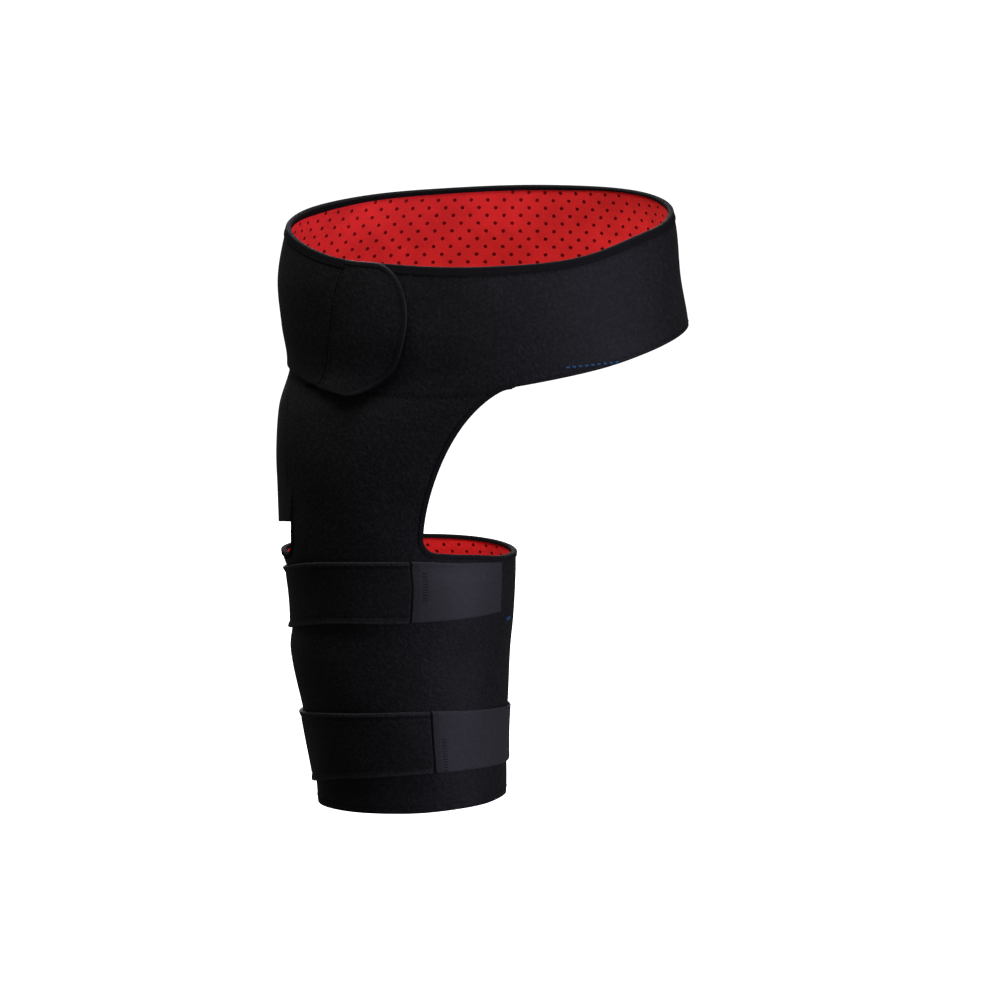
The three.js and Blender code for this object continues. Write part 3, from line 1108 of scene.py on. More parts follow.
# Sub-assemblies
@dataclass
class WaistBelt:
    """The belt strip, which runs once round and laps over its own start."""

    start: float = 186.0
    end: float = 582.5
    size: Pair = (1075.0, 140.0)
    grid: Grid = (320, 34)
    rim_level: float = 61.7
    rim_side: float = 6.4
    rim_back: float = 25.8
    rim_twice: float = 4.5
    rim_sags: tuple[Swell, ...] = (Swell(219.0, 16.0, 5.8), Swell(296.0, 15.0, 2.0), Swell(322.0, 13.0, -2.2))
    hem_rows: Rows = (
        (186, -78), (225, -80), (262, -81), (276, -74.6), (300, -61), (320, -48), (340, -38),
        (360, -31.5), (405, -29), (450, -33), (495, -47), (540, -65), (583, -79.5),
        (597, -86.5), (612, -90),
    )
    slant: float = 13.0
    slant_from: float = 555.0
    lap: Pair = (505.0, 580.0)
    lap_rise: float = 5.4
    under: Pair = (226.0, 233.0)
    under_drop: float = 9.0
    lining_end: float = 539.8
    lining_late: float = 5.0
    lining_level: float = 10.0
    lining_heights: Pair = (-84.0, 92.0)
    tape_start: float = 234.8
    tape_stops: int = 320
    tape_legs: Pair = (6.6, 4.0)
    tape_inner_rows: Rows = (
        (230, 4.0), (360, 2.6), (380, 1.4), (405, 1.4), (425, 2.8), (450, 3.2), (490, 4.0),
        (515, 5.6), (528, 4.4), (590, 4.0),
    )
    rim_seam_ends: Pair = (1.0, 0.5)
    rim_seam_stops: int = 400
    rim_seam_up: float = 0.95
    rim_seam_drop: float = 5.4
    rim_seam_proud: float = 0.8
    hem_seam: Span = Span(286.0, 539.0, 300)
    hem_seam_rise: float = 4.0
    panel_seam: Span = Span(206.0, 272.0, 120)
    panel_seam_drop: float = 0.2
    panel_seam_reach: float = 2.2
    blue_row: Span = Span(291.0, 308.0, 40)
    blue_heights: Pair = (-56.9, -53.8)
    blue_width: float = 1.9
    blue_length: float = 4.4
    blue_pitch: float = 5.8
    cut: Cut = (0.17, 1.08, 0.1206)
    lining_cut: Cut = (0.17, 0.97, 0.1063)
    tape_cut: Cut = (0.0155, 0.96, 0.0148)

    @cached_property
    def hem(self) -> Curve:
        """Give the height of the belt's lower edge by angle."""
        return Curve(*zip(*self.hem_rows))

    def rim(self, angle: Array) -> Array:
        """Give the height of the rim.

        Args:
            angle: Degrees along the strip.

        Returns:
            Heights.
        """
        turn = np.radians(angle)
        wave = self.rim_side * np.cos(turn) + self.rim_back * np.sin(turn) + self.rim_twice * np.cos(2 * turn)
        around = np.mod(angle, 360.0)
        return self.rim_level + wave - sum(sag.at(around) for sag in self.rim_sags)

    def top(self, angle: Array, late: float = 0.0) -> Array:
        """Give the height of the strip's top edge, lower where the flap covers it.

        Args:
            angle: Degrees along the strip.
            late: Degrees by which the lower part runs on.

        Returns:
            Heights.
        """
        under = smoothstep(angle, self.under[0] + late, self.under[1] + late)
        return self.rim(angle) - self.under_drop * (1.0 - under)

    def rise(self, angle: Array) -> Array:
        """Give how proud the outer end stands where it laps over the start."""
        return self.lap_rise * smoothstep(angle, *self.lap)

    def strip(self, level: Array, up: Array) -> Array:
        """Give the angle on the strip, whose end is cut on a slant."""
        return level + self.slant * (up - 0.5) * smoothstep(level, self.slant_from, self.end)

    def place(self, across: Array, up: Array, depth: Array) -> Array:
        """Find points of the shell.

        Args:
            across: Share of the strip's length.
            up: Share of its height.
            depth: Depth below the outer face.

        Returns:
            Points, with a last axis of three.
        """
        level = mix(self.start, self.end, across)
        z = mix(self.hem(level), self.top(level), up)
        return FORM.on(self.strip(level, up), z, self.rise(level) - depth)

    def build(self) -> None:
        """Make the shell, lining, rim tape and sewing."""
        shell = Wall("waist_belt_cloth", self.place, self.size, self.grid).build(LOOP_CLOTH, "waist_belt")
        lining = self.lining()
        tape = self.tape()
        sewing = self.sewing()
        blue = self.blue_sewing()

    def lining(self) -> Piece:
        """Make the perforated lining.

        Returns:
            The dressed object.
        """
        ruler = Ruler(self.lining_level, self.start, self.lining_end)

        def outline(length: Array, z: Array) -> tuple[Array, Array]:
            """Keep a place inside the strip."""
            kept = np.clip(length, 0.0, ruler.full)
            angle = ruler.angle(kept)
            high = self.top(angle, self.lining_late) - CUT_INSET
            return kept, np.clip(z, self.hem(angle) + CUT_INSET, high)

        def place(length: Array, z: Array, depth: Array) -> Array:
            """Find points of the lining."""
            angle = ruler.angle(length)
            return FORM.on(angle, z, self.rise(angle) - CLOTH.sunk - depth)

        sheet = PerforatedSheet("waist_lining_sheet", outline, place, ruler.full, self.lining_heights)
        return sheet.build("waist_lining")

    def tape(self) -> Piece:
        """Make the folded tape on the rim.

        Returns:
            The dressed object.
        """
        level = np.linspace(self.tape_start, self.end, self.tape_stops)
        inner = Curve(*zip(*self.tape_inner_rows))(level)
        folded = FoldedTape("waist_binding_tape", BINDING, *self.tape_legs, CLOTH.laminate)
        angle = self.strip(level, 1.0)
        return folded.build(angle, self.top(level), self.rise(level), ["waist_binding"], inner)

    def sewing(self) -> Piece:
        """Sew the rim tape, the turned lower edge and the seam to the hip panel.

        Returns:
            The dressed stitches.
        """
        sewn = Stitches("waist_stitches")
        first, last = self.tape_start + self.rim_seam_ends[0], self.end - self.rim_seam_ends[1]
        level = np.linspace(first, last, self.rim_seam_stops)
        z = self.top(level) - self.rim_seam_drop
        sewn.run(self.strip(level, self.rim_seam_up), z, self.rise(level) + self.rim_seam_proud)
        lower = self.hem_seam.line
        sewn.run(lower, self.hem(lower) + self.hem_seam_rise, self.rise(lower))
        seam = self.panel_seam.line
        sewn.zigzag(seam, self.hem(seam) - self.panel_seam_drop, 0.0, self.panel_seam_reach)
        return sewn.build()

    def blue_sewing(self) -> Piece:
        """Sew the short blue run that goes off the lower edge.

        Returns:
            The dressed stitches.
        """
        sewn = Stitches("blue_stitches", BLUE_THREAD, self.blue_width)
        angle = self.blue_row.line
        z = np.linspace(*self.blue_heights, self.blue_row.stops)
        sewn.run(angle, z, self.rise(angle), self.blue_length, self.blue_pitch)
        return sewn.build()


@dataclass
class ClosureFlap:
    """The rounded end of the belt, with a slack belly along its lower edge."""

    belt: WaistBelt
    tip: float = 608.6
    degree: float = 2.6
    size: Pair = (68.0, 118.0)
    grid: Grid = (60, 60)
    top_corner: Triple = (34.0, 35.0, 2.0)
    bottom_corner: Triple = (40.0, 83.0, 1.6)
    belly: float = 3.6
    belly_reach: float = 0.72
    belly_rise: float = 0.8
    tape_side_stops: int = 90
    tape_tip_stops: int = 40
    tape_legs: Pair = (2.4, 2.2)
    seam: Span = Span(0.06, 0.94, 60)
    seam_share: float = 0.025
    cut: Cut = (0.085, 0.12, 0.0075)
    tape_cut: Cut = (0.0102, 0.235, 0.0021)

    def reach(self, across: Array) -> Array:
        """Give the share of the way to the tip, with lines close together near it."""
        return np.sin(np.asarray(across, float) * np.pi / 2)

    def spot(self, across: Array, up: Array) -> tuple[Array, Array]:
        """Find an angle and a height on the flap.

        Args:
            across: Share from the seam to the tip.
            up: Share from the lower to the upper edge.

        Returns:
            Angles and heights.
        """
        seam = self.belt.end + self.belt.slant * (up - 0.5)
        level = mix(self.belt.end, self.tip, self.reach(across))
        left = (self.tip - level) * self.degree
        low = self.belt.hem(level) + corner_drop(left, *self.bottom_corner)
        high = self.belt.rim(level) - corner_drop(left, *self.top_corner)
        return mix(seam, self.tip, self.reach(across)), mix(low, high, up)

    def proud(self, across: Array, up: Array) -> Array:
        """Give how proud the flap stands, most along its lower edge.

        Args:
            across: Share from the seam to the tip.
            up: Share from the lower to the upper edge.

        Returns:
            Distances off the form.
        """
        along = np.minimum(self.reach(across) / self.belly_reach, 1.0)
        swell = np.sin(np.pi * along) ** 2 * (1.0 - smoothstep(up, 0.0, self.belly_rise))
        return self.belt.lap_rise + self.belly * swell

    def place(self, across: Array, up: Array, depth: Array) -> Array:
        """Find points of the flap's shell."""
        return FORM.on(*self.spot(across, up), self.proud(across, up) - depth)

    def build(self) -> None:
        """Make the flap, its edge tape and its sewing."""
        shell = Wall("closure_flap_cloth", self.place, self.size, self.grid).build(LOOP_CLOTH, "closure_flap")
        tape = self.tape()
        sewing = self.sewing()

    def tape(self) -> Piece:
        """Make the folded tape from the top of the seam round the tip and back.

        Returns:
            The dressed object.
        """
        side = np.linspace(0.0, 1.0, self.tape_side_stops)
        tip = np.linspace(1.0, 0.0, self.tape_tip_stops)[1:-1]
        across = np.concatenate([side, np.ones(len(tip)), side[::-1]])
        up = np.concatenate([np.ones(len(side)), tip, np.zeros(len(side))])
        folded = FoldedTape("flap_binding_tape", FLAP_EDGE, *self.tape_legs, CLOTH.shell)
        return folded.build(*self.spot(across, up), self.proud(across, up), ["flap_binding"])

    def sewing(self) -> Piece:
        """Sew the flap to the belt.

        Returns:
            The dressed stitches.
        """
        sewn = Stitches("flap_stitches")
        up = self.seam.line
        across = np.full(len(up), self.seam_share)
        sewn.run(*self.spot(across, up), self.proud(across, up))
        return sewn.build()


@dataclass
class LegOutline:
    """Where the arch, the hip panel's edge and the cuff's rim and hem run.

    The arch row and the edge row are the rows of the rim nearest to where those two meet it.
    """

    arch_top: float = -75.0
    arch_foot: float = -215.0
    arch_toe: float = 29.0
    arch_wall: float = -51.0
    arch_bow: float = 1.72
    arch_row: int = 3
    edge_x: float = -168.0
    edge_row: int = 2
    corner: float = 15.0
    degree: float = 1.75
    dip: float = 13.0
    ramp: float = 12.0
    seam_lap: float = 1.2
    rim_rows: Rows = (
        (100, -236), (180, -234), (215, -235), (285, -226), (300, -228.4), (315, -231), (330, -234.4),
        (345, -235.9), (360, -236.4), (390, -234.8), (420, -234.4), (460, -236),
    )
    hem_rows: Rows = ((100, -459), (180, -464), (270, -461.6), (315, -458.6), (360, -457), (460, -459))

    @cached_property
    def rim(self) -> Curve:
        """Give the height of the cuff's rim by angle."""
        return Curve(*zip(*self.rim_rows))

    @cached_property
    def hem(self) -> Curve:
        """Give the height of the cuff's hem by angle."""
        return Curve(*zip(*self.hem_rows))

    @cached_property
    def arch_rim(self) -> float:
        """Give the height at which the arch meets the cuff's rim."""
        return float(self.rim(FORM.front_angle(self.arch_wall, self.rim_rows[self.arch_row][1])))

    @cached_property
    def edge_rim(self) -> float:
        """Give the height at which the panel's outer edge meets the cuff's rim."""
        return float(self.rim(FORM.front_angle(self.edge_x, self.rim_rows[self.edge_row][1])))

    def arch(self, z: Array) -> Array:
        """Give the angle of the arch's edge.

        Args:
            z: Heights.

        Returns:
            Angles.
        """
        level = np.maximum(z, self.arch_rim)
        share = np.clip((level - self.arch_foot) / (self.arch_top - self.arch_foot), 0.0, 1.0)
        bend = (1.0 - share**self.arch_bow) ** (1.0 / self.arch_bow)
        x = self.arch_toe - (self.arch_toe - self.arch_wall) * bend
        flare = corner_drop(level - self.arch_rim, self.corner, self.corner)
        return FORM.front_angle(x, level) + flare / self.degree

    def edge(self, z: Array) -> Array:
        """Give the angle of the panel's outer edge.

        Args:
            z: Heights.

        Returns:
            Angles.
        """
        level = np.maximum(z, self.edge_rim)
        flare = corner_drop(level - self.edge_rim, self.corner, self.corner)
        return FORM.front_angle(self.edge_x, level) - flare / self.degree

    @cached_property
    def join(self) -> Pair:
        """Give the angles between which the panel joins the cuff."""
        return float(self.edge(self.edge_rim)), float(self.arch(self.arch_rim))

    def cuff_top(self, angle: Array) -> Array:
        """Give the cuff shell's top edge, which dips where the panel joins it."""
        inside = np.minimum(angle - self.join[0], self.join[1] - angle)
        return self.rim(angle) - self.dip * smoothstep(inside, 0.0, self.ramp)


@dataclass
class HipPanel:
    """The panel from the belt to the cuff, with its lining and rear tab."""

    belt: WaistBelt
    leg: LegOutline
    size: Pair = (150.0, 160.0)
    grid: Grid = (70, 70)
    top_level: float = -81.0
    lining_level: float = -150.0
    lining_reach: Pair = (180.0, 330.0)
    lining_heights: Pair = (-250.0, -74.0)
    lining_inset: float = 0.3
    tab_size: Pair = (100.0, 130.0)
    tab_grid: Grid = (40, 50)
    tab_rear: float = 148.0
    tab_rear_bottom: float = -217.0
    tab_bottom: float = -202.0
    tab_flare: Pair = (2.2, 0.3)
    tab_step: Pair = (188.9, 190.1)
    tab_tuck: float = 0.4
    front_seam: Span = Span(-90.0, -194.0, 60)
    front_seam_inset: float = 4.5
    end_seam: Span = Span(0.05, 0.98, 60)
    end_seam_rises: Triple = (4.0, 14.0, 24.0)
    end_seam_reach: float = 2.0
    cut: Cut = (0.23, 0.17, 0.0255)
    lining_cut: Cut = (0.23, 0.17, 0.0255)
    tab_cut: Cut = (0.135, 0.14, 0.0155)

    def spot(self, across: Array, up: Array) -> tuple[Array, Array]:
        """Find an angle and a height on the panel.

        Args:
            across: Share from the outer edge to the arch.
            up: Share from the cuff to the belt.

        Returns:
            Angles and heights.
        """
        bottom = self.leg.cuff_top(mix(*self.leg.join, across)) - self.leg.seam_lap
        ends = float(self.leg.edge(self.top_level)), float(self.leg.arch(self.top_level))
        top = self.belt.hem(mix(*ends, across)) + self.leg.seam_lap
        z = mix(bottom, top, smoothstep(up, 0.0, 1.0))
        return mix(self.leg.edge(z), self.leg.arch(z), across), z

    def place(self, across: Array, up: Array, depth: Array) -> Array:
        """Find points of the panel's shell."""
        return FORM.on(*self.spot(across, up), -depth)

    def tab_place(self, across: Array, up: Array, depth: Array) -> Array:
        """Find points of the rear tab.

        Args:
            across: Share from its rear edge to the panel.
            up: Share from its lower to its upper end.
            depth: Depth below the outer face.

        Returns:
            Points, with a last axis of three.
        """
        start = self.belt.hem_rows[0][1]
        level = mix(self.tab_rear, float(self.leg.edge(start)), across)
        step = smoothstep(level, *self.tab_step)
        top = mix(self.belt.hem(level + 360.0), start, step) + self.leg.seam_lap
        z = mix(mix(self.tab_rear_bottom, self.tab_bottom, across), top, up)
        angle = mix(self.tab_rear, self.leg.edge(z) + self.leg.seam_lap / self.leg.degree, across)
        proud, rise = self.tab_flare
        lift = proud * (1.0 - smoothstep(up, 0.0, rise)) - self.tab_tuck * smoothstep(up, 1.0 - rise, 1.0)
        return FORM.on(angle, z, lift - depth)

    def build(self) -> None:
        """Make the panel, its lining and its tab."""
        shell = Wall("hip_panel_cloth", self.place, self.size, self.grid).build(LOOP_CLOTH, "hip_panel")
        lining = self.lining()
        tab_wall = Wall("side_tab_cloth", self.tab_place, self.tab_size, self.tab_grid)
        tab = tab_wall.build(LOOP_CLOTH, "side_tab")
        sewing = self.tab_sewing()

    def lining(self) -> Piece:
        """Make the perforated lining.

        Returns:
            The dressed object.
        """
        ruler = Ruler(self.lining_level, *self.lining_reach)

        def outline(length: Array, z: Array) -> tuple[Array, Array]:
            """Keep a place inside the panel."""
            angle = ruler.angle(length)
            kept = np.clip(z, self.leg.cuff_top(angle) + CUT_INSET, self.belt.hem(angle) - CUT_INSET)
            first, last = self.leg.edge(kept) + self.lining_inset, self.leg.arch(kept) - self.lining_inset
            inside = np.clip(angle, first, last)
            return np.where(np.abs(inside - angle) > TOUCH, ruler.length(inside), length), kept

        def place(length: Array, z: Array, depth: Array) -> Array:
            """Find points of the lining."""
            return FORM.on(ruler.angle(length), z, -CLOTH.sunk - depth)

        sheet = PerforatedSheet("hip_lining_sheet", outline, place, ruler.full, self.lining_heights)
        return sheet.build("hip_lining")

    def tab_sewing(self) -> Piece:
        """Sew the tab down along its front edge and its lower end.

        Returns:
            The dressed stitches.
        """
        sewn = Stitches("tab_stitches")
        z = self.front_seam.line
        sewn.run(self.leg.edge(z) - self.front_seam_inset, z, 0.0)
        across = self.end_seam.line
        angle = mix(self.tab_rear, float(self.leg.edge(self.tab_bottom)), across)
        for rise in self.end_seam_rises:
            z = mix(self.tab_rear_bottom, self.tab_bottom, across) + rise
            sewn.zigzag(angle, z, 0.0, self.end_seam_reach)
        return sewn.build()


@dataclass
class ThighCuff:
    """The cuff round the thigh, open at the back, with the tapes on its rim and on the panel's edges."""

    leg: LegOutline
    panel: HipPanel
    slit: float = 100.0
    slit_half: float = 1.9
    size: Pair = (610.0, 228.0)
    grid: Grid = (260, 70)
    lining_level: float = -340.0
    lining_heights: Pair = (-474.0, -218.0)
    row_tilt: float = 6.7
    hole_pitch: float = 15.2
    hole_row: float = 6.1
    hole_radius: float = 1.65
    tape_legs: Pair = (3.2, 2.6)
    arch_stops: int = 140
    arch_up: float = 0.985
    tuck: float = 2.2
    tuck_reach: float = 0.3
    front_rim_stops: int = 220
    rear_rim_stops: int = 140
    edge_row: Span = Span(0.0, 0.6, 120)
    hem_seam_inset: float = 1.0
    hem_seam_stops: int = 300
    hem_seam_rise: float = 6.5
    slit_seam: Span = Span(-452.0, -246.0, 80)
    slit_seam_inset: float = 2.4
    tack: Span = Span(338.4, 343.6, 20)
    tack_level: float = -292.5
    tack_width: float = 1.3
    tack_reach: float = 2.0
    tack_pitch: float = 1.1
    cut: Cut = (0.24, 0.64, 0.134)
    lining_cut: Cut = (0.24, 0.62, 0.130)
    arch_tape_cut: Cut = (0.011, 0.53, 0.0058)
    rear_tape_cut: Cut = (0.0105, 0.24, 0.0025)

    @property
    def ends(self) -> Pair:
        """Give the angles of the cuff's two ends."""
        return self.slit + self.slit_half, self.slit + 360.0 - self.slit_half

    def tilt(self, angle: Array) -> Array:
        """Give how far the lining's rows of holes rise, most at the inner thigh."""
        return self.row_tilt * np.cos(np.radians(angle))

    def place(self, across: Array, up: Array, depth: Array) -> Array:
        """Find points of the cuff's shell."""
        angle = mix(*self.ends, across)
        return FORM.on(angle, mix(self.leg.hem(angle), self.leg.cuff_top(angle), up), -depth)

    def build(self) -> None:
        """Make the cuff, its lining, tapes and sewing."""
        shell = Wall("thigh_cuff_cloth", self.place, self.size, self.grid).build(LOOP_CLOTH, "thigh_cuff")
        lining = self.lining()
        arch, rear = self.tape("arch", *self.arch_path()), self.tape("rear", *self.rear_path())
        sewing, tack = self.sewing(), self.blue_tack()

    def lining(self) -> Piece:
        """Make the perforated lining.

        Returns:
            The dressed object.
        """
        ruler = Ruler(self.lining_level, *self.ends)
        full = float(ruler.length(self.ends[1]))

        def outline(length: Array, z: Array) -> tuple[Array, Array]:
            """Keep a place inside the cuff."""
            kept = np.clip(length, 0.0, full)
            angle = ruler.angle(kept)
            low, high = self.leg.hem(angle) + CUT_INSET, self.leg.cuff_top(angle) - CUT_INSET
            return kept, np.clip(z, low - self.tilt(angle), high - self.tilt(angle))

        def place(length: Array, z: Array, depth: Array) -> Array:
            """Find points of the lining."""
            angle = ruler.angle(length)
            return FORM.on(angle, z + self.tilt(angle), -CLOTH.sunk - depth)

        sheet = PerforatedSheet(
            "thigh_lining_sheet", outline, place, full, self.lining_heights,
            pitch=self.hole_pitch, row=self.hole_row, radius=self.hole_radius,
        )
        return sheet.build("thigh_lining")

    def arch_path(self) -> tuple[Array, Array]:
        """Follow the arch down from the belt and on round the cuff's rim.

        Returns:
            Angles and heights.
        """
        down = np.linspace(0.0, 1.0, self.arch_stops)
        angle, z = self.panel.spot(np.ones(len(down)), self.arch_up * (1.0 - down))
        z = z + self.tuck * (1.0 - smoothstep(down, 0.0, self.tuck_reach))
        rim = np.linspace(self.leg.join[1], self.ends[1], self.front_rim_stops)[1:]
        return np.concatenate([angle, rim]), np.concatenate([z, self.leg.rim(rim)])

    def rear_path(self) -> tuple[Array, Array]:
        """Follow the cuff's rear rim and on up the panel's outer edge.

        Returns:
            Angles and heights.
        """
        rim = np.linspace(self.ends[0], self.leg.join[0], self.rear_rim_stops)[:-1]
        up = self.edge_row.line
        angle, z = self.panel.spot(np.zeros(len(up)), up)
        under = z < self.panel.tab_bottom
        return np.concatenate([rim, angle[under]]), np.concatenate([self.leg.rim(rim), z[under]])

    def tape(self, label: str, angle: Array, z: Array) -> Piece:
        """Make a folded tape along a path.

        Args:
            label: Which tape it is.
            angle: Degrees of the stops along it.
            z: Their heights.

        Returns:
            The dressed object.
        """
        # The arch and rear tapes wear the lightened edge tape, which is painted light.
        folded = FoldedTape(f"{label}_binding_tape", LIGHTENED_EDGE_TAPE, *self.tape_legs, CLOTH.laminate)
        return folded.build(angle, z, 0.0, [f"{label}_binding"])

    def sewing(self) -> Piece:
        """Sew the hem and the two ends at the slit.

        Returns:
            The dressed stitches.
        """
        sewn = Stitches("cuff_stitches")
        first, last = self.ends[0] + self.hem_seam_inset, self.ends[1] - self.hem_seam_inset
        angle = np.linspace(first, last, self.hem_seam_stops)
        sewn.run(angle, self.leg.hem(angle) + self.hem_seam_rise, 0.0)
        z = self.slit_seam.line
        for end, way in zip(self.ends, (self.slit_seam_inset, -self.slit_seam_inset)):
            sewn.run(np.full(len(z), end + way), z, 0.0)
        return sewn.build()

    def blue_tack(self) -> Piece:
        """Sew the small blue bar beside the upper strap's end.

        Returns:
            The dressed stitches.
        """
        sewn = Stitches("blue_tack", BLUE_THREAD, self.tack_width)
        sewn.zigzag(self.tack.line, self.tack_level, 0.0, self.tack_reach, self.tack_pitch)
        return sewn.build()


@dataclass
class Strap:
    """A strap round the cuff: a brushed part with hemmed edges, sewn to a smooth hook tape."""

    label: str
    start: float
    seam: float
    end: float
    edges: tuple[EdgeRow, ...]
    cut: Cut
    hook_cut: Cut
    comb: Pair
    lean: float = 0.0
    degree: float = 1.75
    gap: float = 1.0
    thick: float = 2.4
    grid: Grid = (160, 40)
    ridge: Swell = Swell(2.0, 1.4, 0.5)
    groove: Swell = Swell(5.0, 0.8, 0.45)
    hem: float = 0.7
    hem_row: Span = Span(0.003, 0.997, 220)
    hem_legs: Pair = (2.2, 1.6)
    hem_thick: float = 0.6
    hem_nose: float = 0.4
    hook: float = 1.8
    hook_grid: Grid = (60, 30)
    hook_gap: float = 0.25
    band: Pair = (0.8, 4.6)
    band_width: float = 6.6
    band_thick: float = 1.0
    band_grid: Grid = (8, 30)
    band_proud: float = 1.1
    band_inset: float = 0.01
    seam_inset: float = 1.0
    seam_stops: int = 200
    seam_sunk: float = 0.4
    tooth: float = 5.6
    tooth_gap: float = 2.2
    tooth_pitch: float = 0.045

    @property
    def width(self) -> float:
        """Give the strap's width at its start."""
        return self.edges[0].top - self.edges[0].bottom

    @cached_property
    def sides(self) -> tuple[Curve, Curve]:
        """Give the heights of the lower and the upper edge by angle."""
        angles, high, low = zip(*self.edges)
        return Curve(angles, low), Curve(angles, high)

    def joint(self, up: Array) -> Array:
        """Give the angle of the seam at a share of the strap's width."""
        return self.seam + self.lean * (np.asarray(up, float) - 0.5)

    def height(self, angle: Array, up: Array) -> Array:
        """Give the height at a share of the strap's width."""
        return mix(self.sides[0](angle), self.sides[1](angle), up)

    def hemmed(self, up: Array) -> Array:
        """Give the ridge of the folded hems and the groove of their stitches."""
        inside = np.minimum(up, 1.0 - up) * self.width
        return self.ridge.at(inside) - self.groove.at(inside)

    def place(self, across: Array, up: Array, depth: Array) -> Array:
        """Find points of the brushed part.

        Args:
            across: Share from the start to the seam.
            up: Share of the strap's width.
            depth: Depth below the outer face.

        Returns:
            Points, with a last axis of three.
        """
        angle = mix(self.start, self.joint(up), across)
        proud = self.gap + self.thick + np.where(depth < self.thick / 2, self.hemmed(up), 0.0) - depth
        return FORM.on(angle, self.height(angle, up) + self.hem * (1.0 - 2.0 * up), proud)

    def hook_place(self, across: Array, up: Array, depth: Array) -> Array:
        """Find points of the hook tape."""
        angle = mix(self.joint(up) + self.hook_gap, self.end, across)
        return FORM.on(angle, self.height(angle, up), self.gap + self.hook - depth)

    def band_place(self, across: Array, up: Array, depth: Array) -> Array:
        """Find points of the folded band over the seam.

        Args:
            across: Share of the band's width.
            up: Share of the strap's width.
            depth: Depth below the outer face.

        Returns:
            Points, with a last axis of three.
        """
        angle = self.joint(up) + mix(*self.band, across)
        z = self.height(angle, mix(self.band_inset, 1.0 - self.band_inset, up))
        return FORM.on(angle, z, self.gap + self.hook + self.band_proud - depth)

    def wall(self, name: str, place: Place, length: float, grid: Grid, thick: float) -> Wall:
        """Give a wall that is as wide as the strap and is named after it."""
        return Wall(f"{self.label}_{name}", place, (length, self.width), grid, thick)

    def build(self) -> None:
        """Make the brushed part, the hook tape, the band and the sewing."""
        long, hook_long = (self.seam - self.start) * self.degree, (self.end - self.seam) * self.degree
        cloth_wall = self.wall("strap_cloth", self.place, long, self.grid, self.thick)
        hook_wall = self.wall("hook_sheet", self.hook_place, hook_long, self.hook_grid, self.hook)
        band_wall = self.wall("strap_band", self.band_place, self.band_width, self.band_grid, self.band_thick)
        cloth = cloth_wall.build(LOOP_CLOTH, f"{self.label}_strap")
        hook = hook_wall.build(HOOK_BACK, f"{self.label}_hook_tape")
        band = band_wall.build(STRAP_BAND)
        sewing = self.sewing()
        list(self.hems())

    def sewing(self) -> Piece:
        """Sew the hems and the comb of stitches past the band.

        Returns:
            The dressed stitches.
        """
        sewn = Stitches(f"{self.label}_strap_stitches")
        angle = np.linspace(self.start + self.seam_inset, self.seam - self.seam_inset, self.seam_stops)
        for side, way in zip(self.sides, (self.groove.place, -self.groove.place)):
            sewn.run(angle, side(angle) + way, self.gap + self.thick - self.seam_sunk)
        up = np.arange(*self.comb, self.tooth_pitch)
        teeth = self.joint(up) + self.band[1] + self.tooth_gap
        z = self.height(teeth, up)
        centre = FORM.on(teeth, z, self.gap + self.hook)
        sewn.marks(centre, FORM.along(teeth, z), FORM.normal(teeth, z), self.tooth)
        return sewn.build()

    def hems(self) -> list[Piece]:
        """Fold a hem over the brushed part's upper and lower edge.

        Returns:
            The two dressed hems.
        """
        made = []
        for name, up, way in (("top", 1.0, 1), ("low", 0.0, -1)):
            angle = mix(self.start, float(self.joint(up)), self.hem_row.line)[::way]
            z = self.height(angle, up) - way * self.hem
            # The hems wear the lighter loop cloth, a painted highlight on their rolls.
            folded = FoldedTape(
                f"{self.label}_strap_{name}_hem", STRAP_HEM_HIGHLIGHT, *self.hem_legs, self.thick,
                thick=self.hem_thick, nose=self.hem_nose,
            )
            made.append(folded.build(angle, z, self.gap + self.thick))
        return made


UPPER_STRAP = Strap(
    "upper",
    start=70.0,
    seam=275.0,
    end=329.0,
    edges=(
        EdgeRow(70, -245, -297),
        EdgeRow(130, -249, -303),
        EdgeRow(180, -248, -305.5),
        EdgeRow(230, -234.5, -290.5),
        EdgeRow(275, -230.5, -286.5),
        EdgeRow(300, -233.8, -285),
        EdgeRow(315, -235.6, -284),
        EdgeRow(332, -239.2, -283),
    ),
    cut=(0.053, 0.37, 0.0193),
    hook_cut=(0.05, 0.1, 0.005),
    comb=(0.36, 0.82),
    lean=2.3,
)
LOWER_STRAP = Strap(
    "lower",
    start=70.0,
    seam=285.0,
    end=396.0,
    edges=(
        EdgeRow(70, -377, -433),
        EdgeRow(130, -381, -443),
        EdgeRow(180, -380, -445),
        EdgeRow(235, -371, -431),
        EdgeRow(285, -367, -424),
        EdgeRow(360, -375, -425),
        EdgeRow(396, -377, -426),
    ),
    cut=(0.058, 0.36, 0.0205),
    hook_cut=(0.054, 0.175, 0.0093),
    comb=(0.04, 0.58),
)


# Stage
class Lamp(NamedTuple):
    """A square soft light, in metres and watts."""

    name: str
    place: Triple
    size: float
    power: float
    tint: Colour


LAMPS = (
    Lamp("key_light", place=(1.97, -1.45, -0.1), size=1.2, power=80.0, tint=(0.78, 0.77, 1.0)),
    Lamp("top_light", place=(-0.18, -0.25, 1.2), size=1.0, power=42.0, tint=(0.95, 0.95, 1.0)),
    Lamp("back_light", place=(-0.3, 2.6, 0.9), size=1.2, power=40.0, tint=(0.95, 0.95, 1.0)),
)


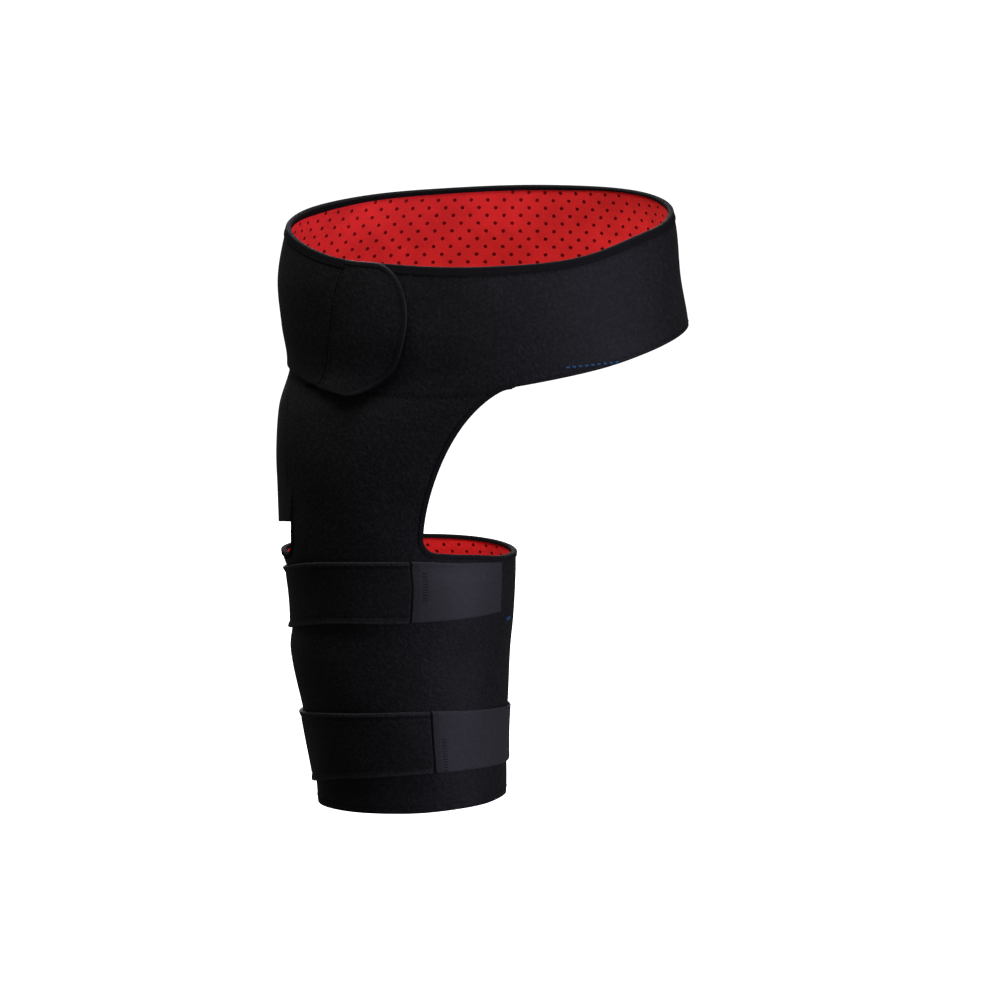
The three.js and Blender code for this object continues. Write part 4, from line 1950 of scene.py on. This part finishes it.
@dataclass
class Studio:
    """White floor and surroundings, soft lights and the camera, in metres."""

    target: Triple = (0.0135, 0.0, -0.185)
    distance: float = 5.0
    elevation: float = 8.0
    lens: float = 202.0
    sensor: float = 36.0
    far: float = 200.0
    floor: float = -0.62
    floor_reach: float = 30.0
    surround: float = 0.135
    lamps: tuple[Lamp, ...] = LAMPS

    def build(self) -> None:
        """Set up the whole stage."""
        self.make_floor()
        self.make_world()
        for lamp in self.lamps:
            self.hang(lamp)
        self.make_camera()

    def make_floor(self) -> None:
        """Lay a plain white floor well below the hem."""
        corners = ((-1, -1), (1, -1), (1, 1), (-1, 1))
        points = np.array([(x * self.floor_reach, y * self.floor_reach, self.floor) for x, y in corners]) / MM
        piece = make_piece("studio_floor", points, [(0, 1, 2, 3)])
        graph = Graph("white_floor")
        graph.set(Base_Color=(*grey(0.9), 1.0), Roughness=0.9, Specular_IOR_Level=0.0)
        graph.set(Emission_Color=(*WHITE, 1.0), Emission_Strength=1.0)
        piece.data.materials.append(graph.material)
        piece.visible_diffuse = False
        piece.visible_glossy = False

    def make_world(self) -> None:
        """Surround the brace with even white light."""
        world = bpy.data.worlds.new("white_surround")
        world.use_nodes = True
        background = world.node_tree.nodes["Background"]
        background.inputs["Color"].default_value = (*WHITE, 1.0)
        background.inputs["Strength"].default_value = self.surround
        bpy.context.scene.world = world
        bpy.context.scene.view_settings.view_transform = "Standard"

    def hang(self, lamp: Lamp) -> None:
        """Hang a light so that it faces the brace.

        Args:
            lamp: The light.
        """
        light = bpy.data.lights.new(lamp.name, "AREA")
        light.size = lamp.size
        light.energy = lamp.power
        light.color = lamp.tint
        hung = bpy.data.objects.new(lamp.name, light)
        hung.location = lamp.place
        hung.visible_camera = False
        hung.rotation_euler = (Vector(self.target) - Vector(lamp.place)).to_track_quat("-Z", "Y").to_euler()
        bpy.context.scene.collection.objects.link(hung)

    def make_camera(self) -> None:
        """Place the camera a little above the brace, square to its front."""
        lens = bpy.data.cameras.new("front_camera")
        lens.lens = self.lens
        lens.sensor_width = self.sensor
        lens.clip_end = self.far
        camera = bpy.data.objects.new("front_camera", lens)
        rise = math.radians(self.elevation)
        back = Vector((0.0, -math.cos(rise), math.sin(rise)))
        camera.location = Vector(self.target) + back * self.distance
        camera.rotation_euler = (-back).to_track_quat("-Z", "Y").to_euler()
        bpy.context.scene.collection.objects.link(camera)
        bpy.context.scene.camera = camera


def main() -> None:
    """Build every sub-assembly in order, then the stage."""
    logging.basicConfig(level=logging.INFO, format="%(name)s %(message)s")
    belt, leg = WaistBelt(), LegOutline()
    panel = HipPanel(belt, leg)
    flap, cuff = ClosureFlap(belt), ThighCuff(leg, panel)
    for assembly in (belt, flap, panel, cuff, UPPER_STRAP, LOWER_STRAP, Studio()):
        assembly.build()


if __name__ == "__main__":
    main()
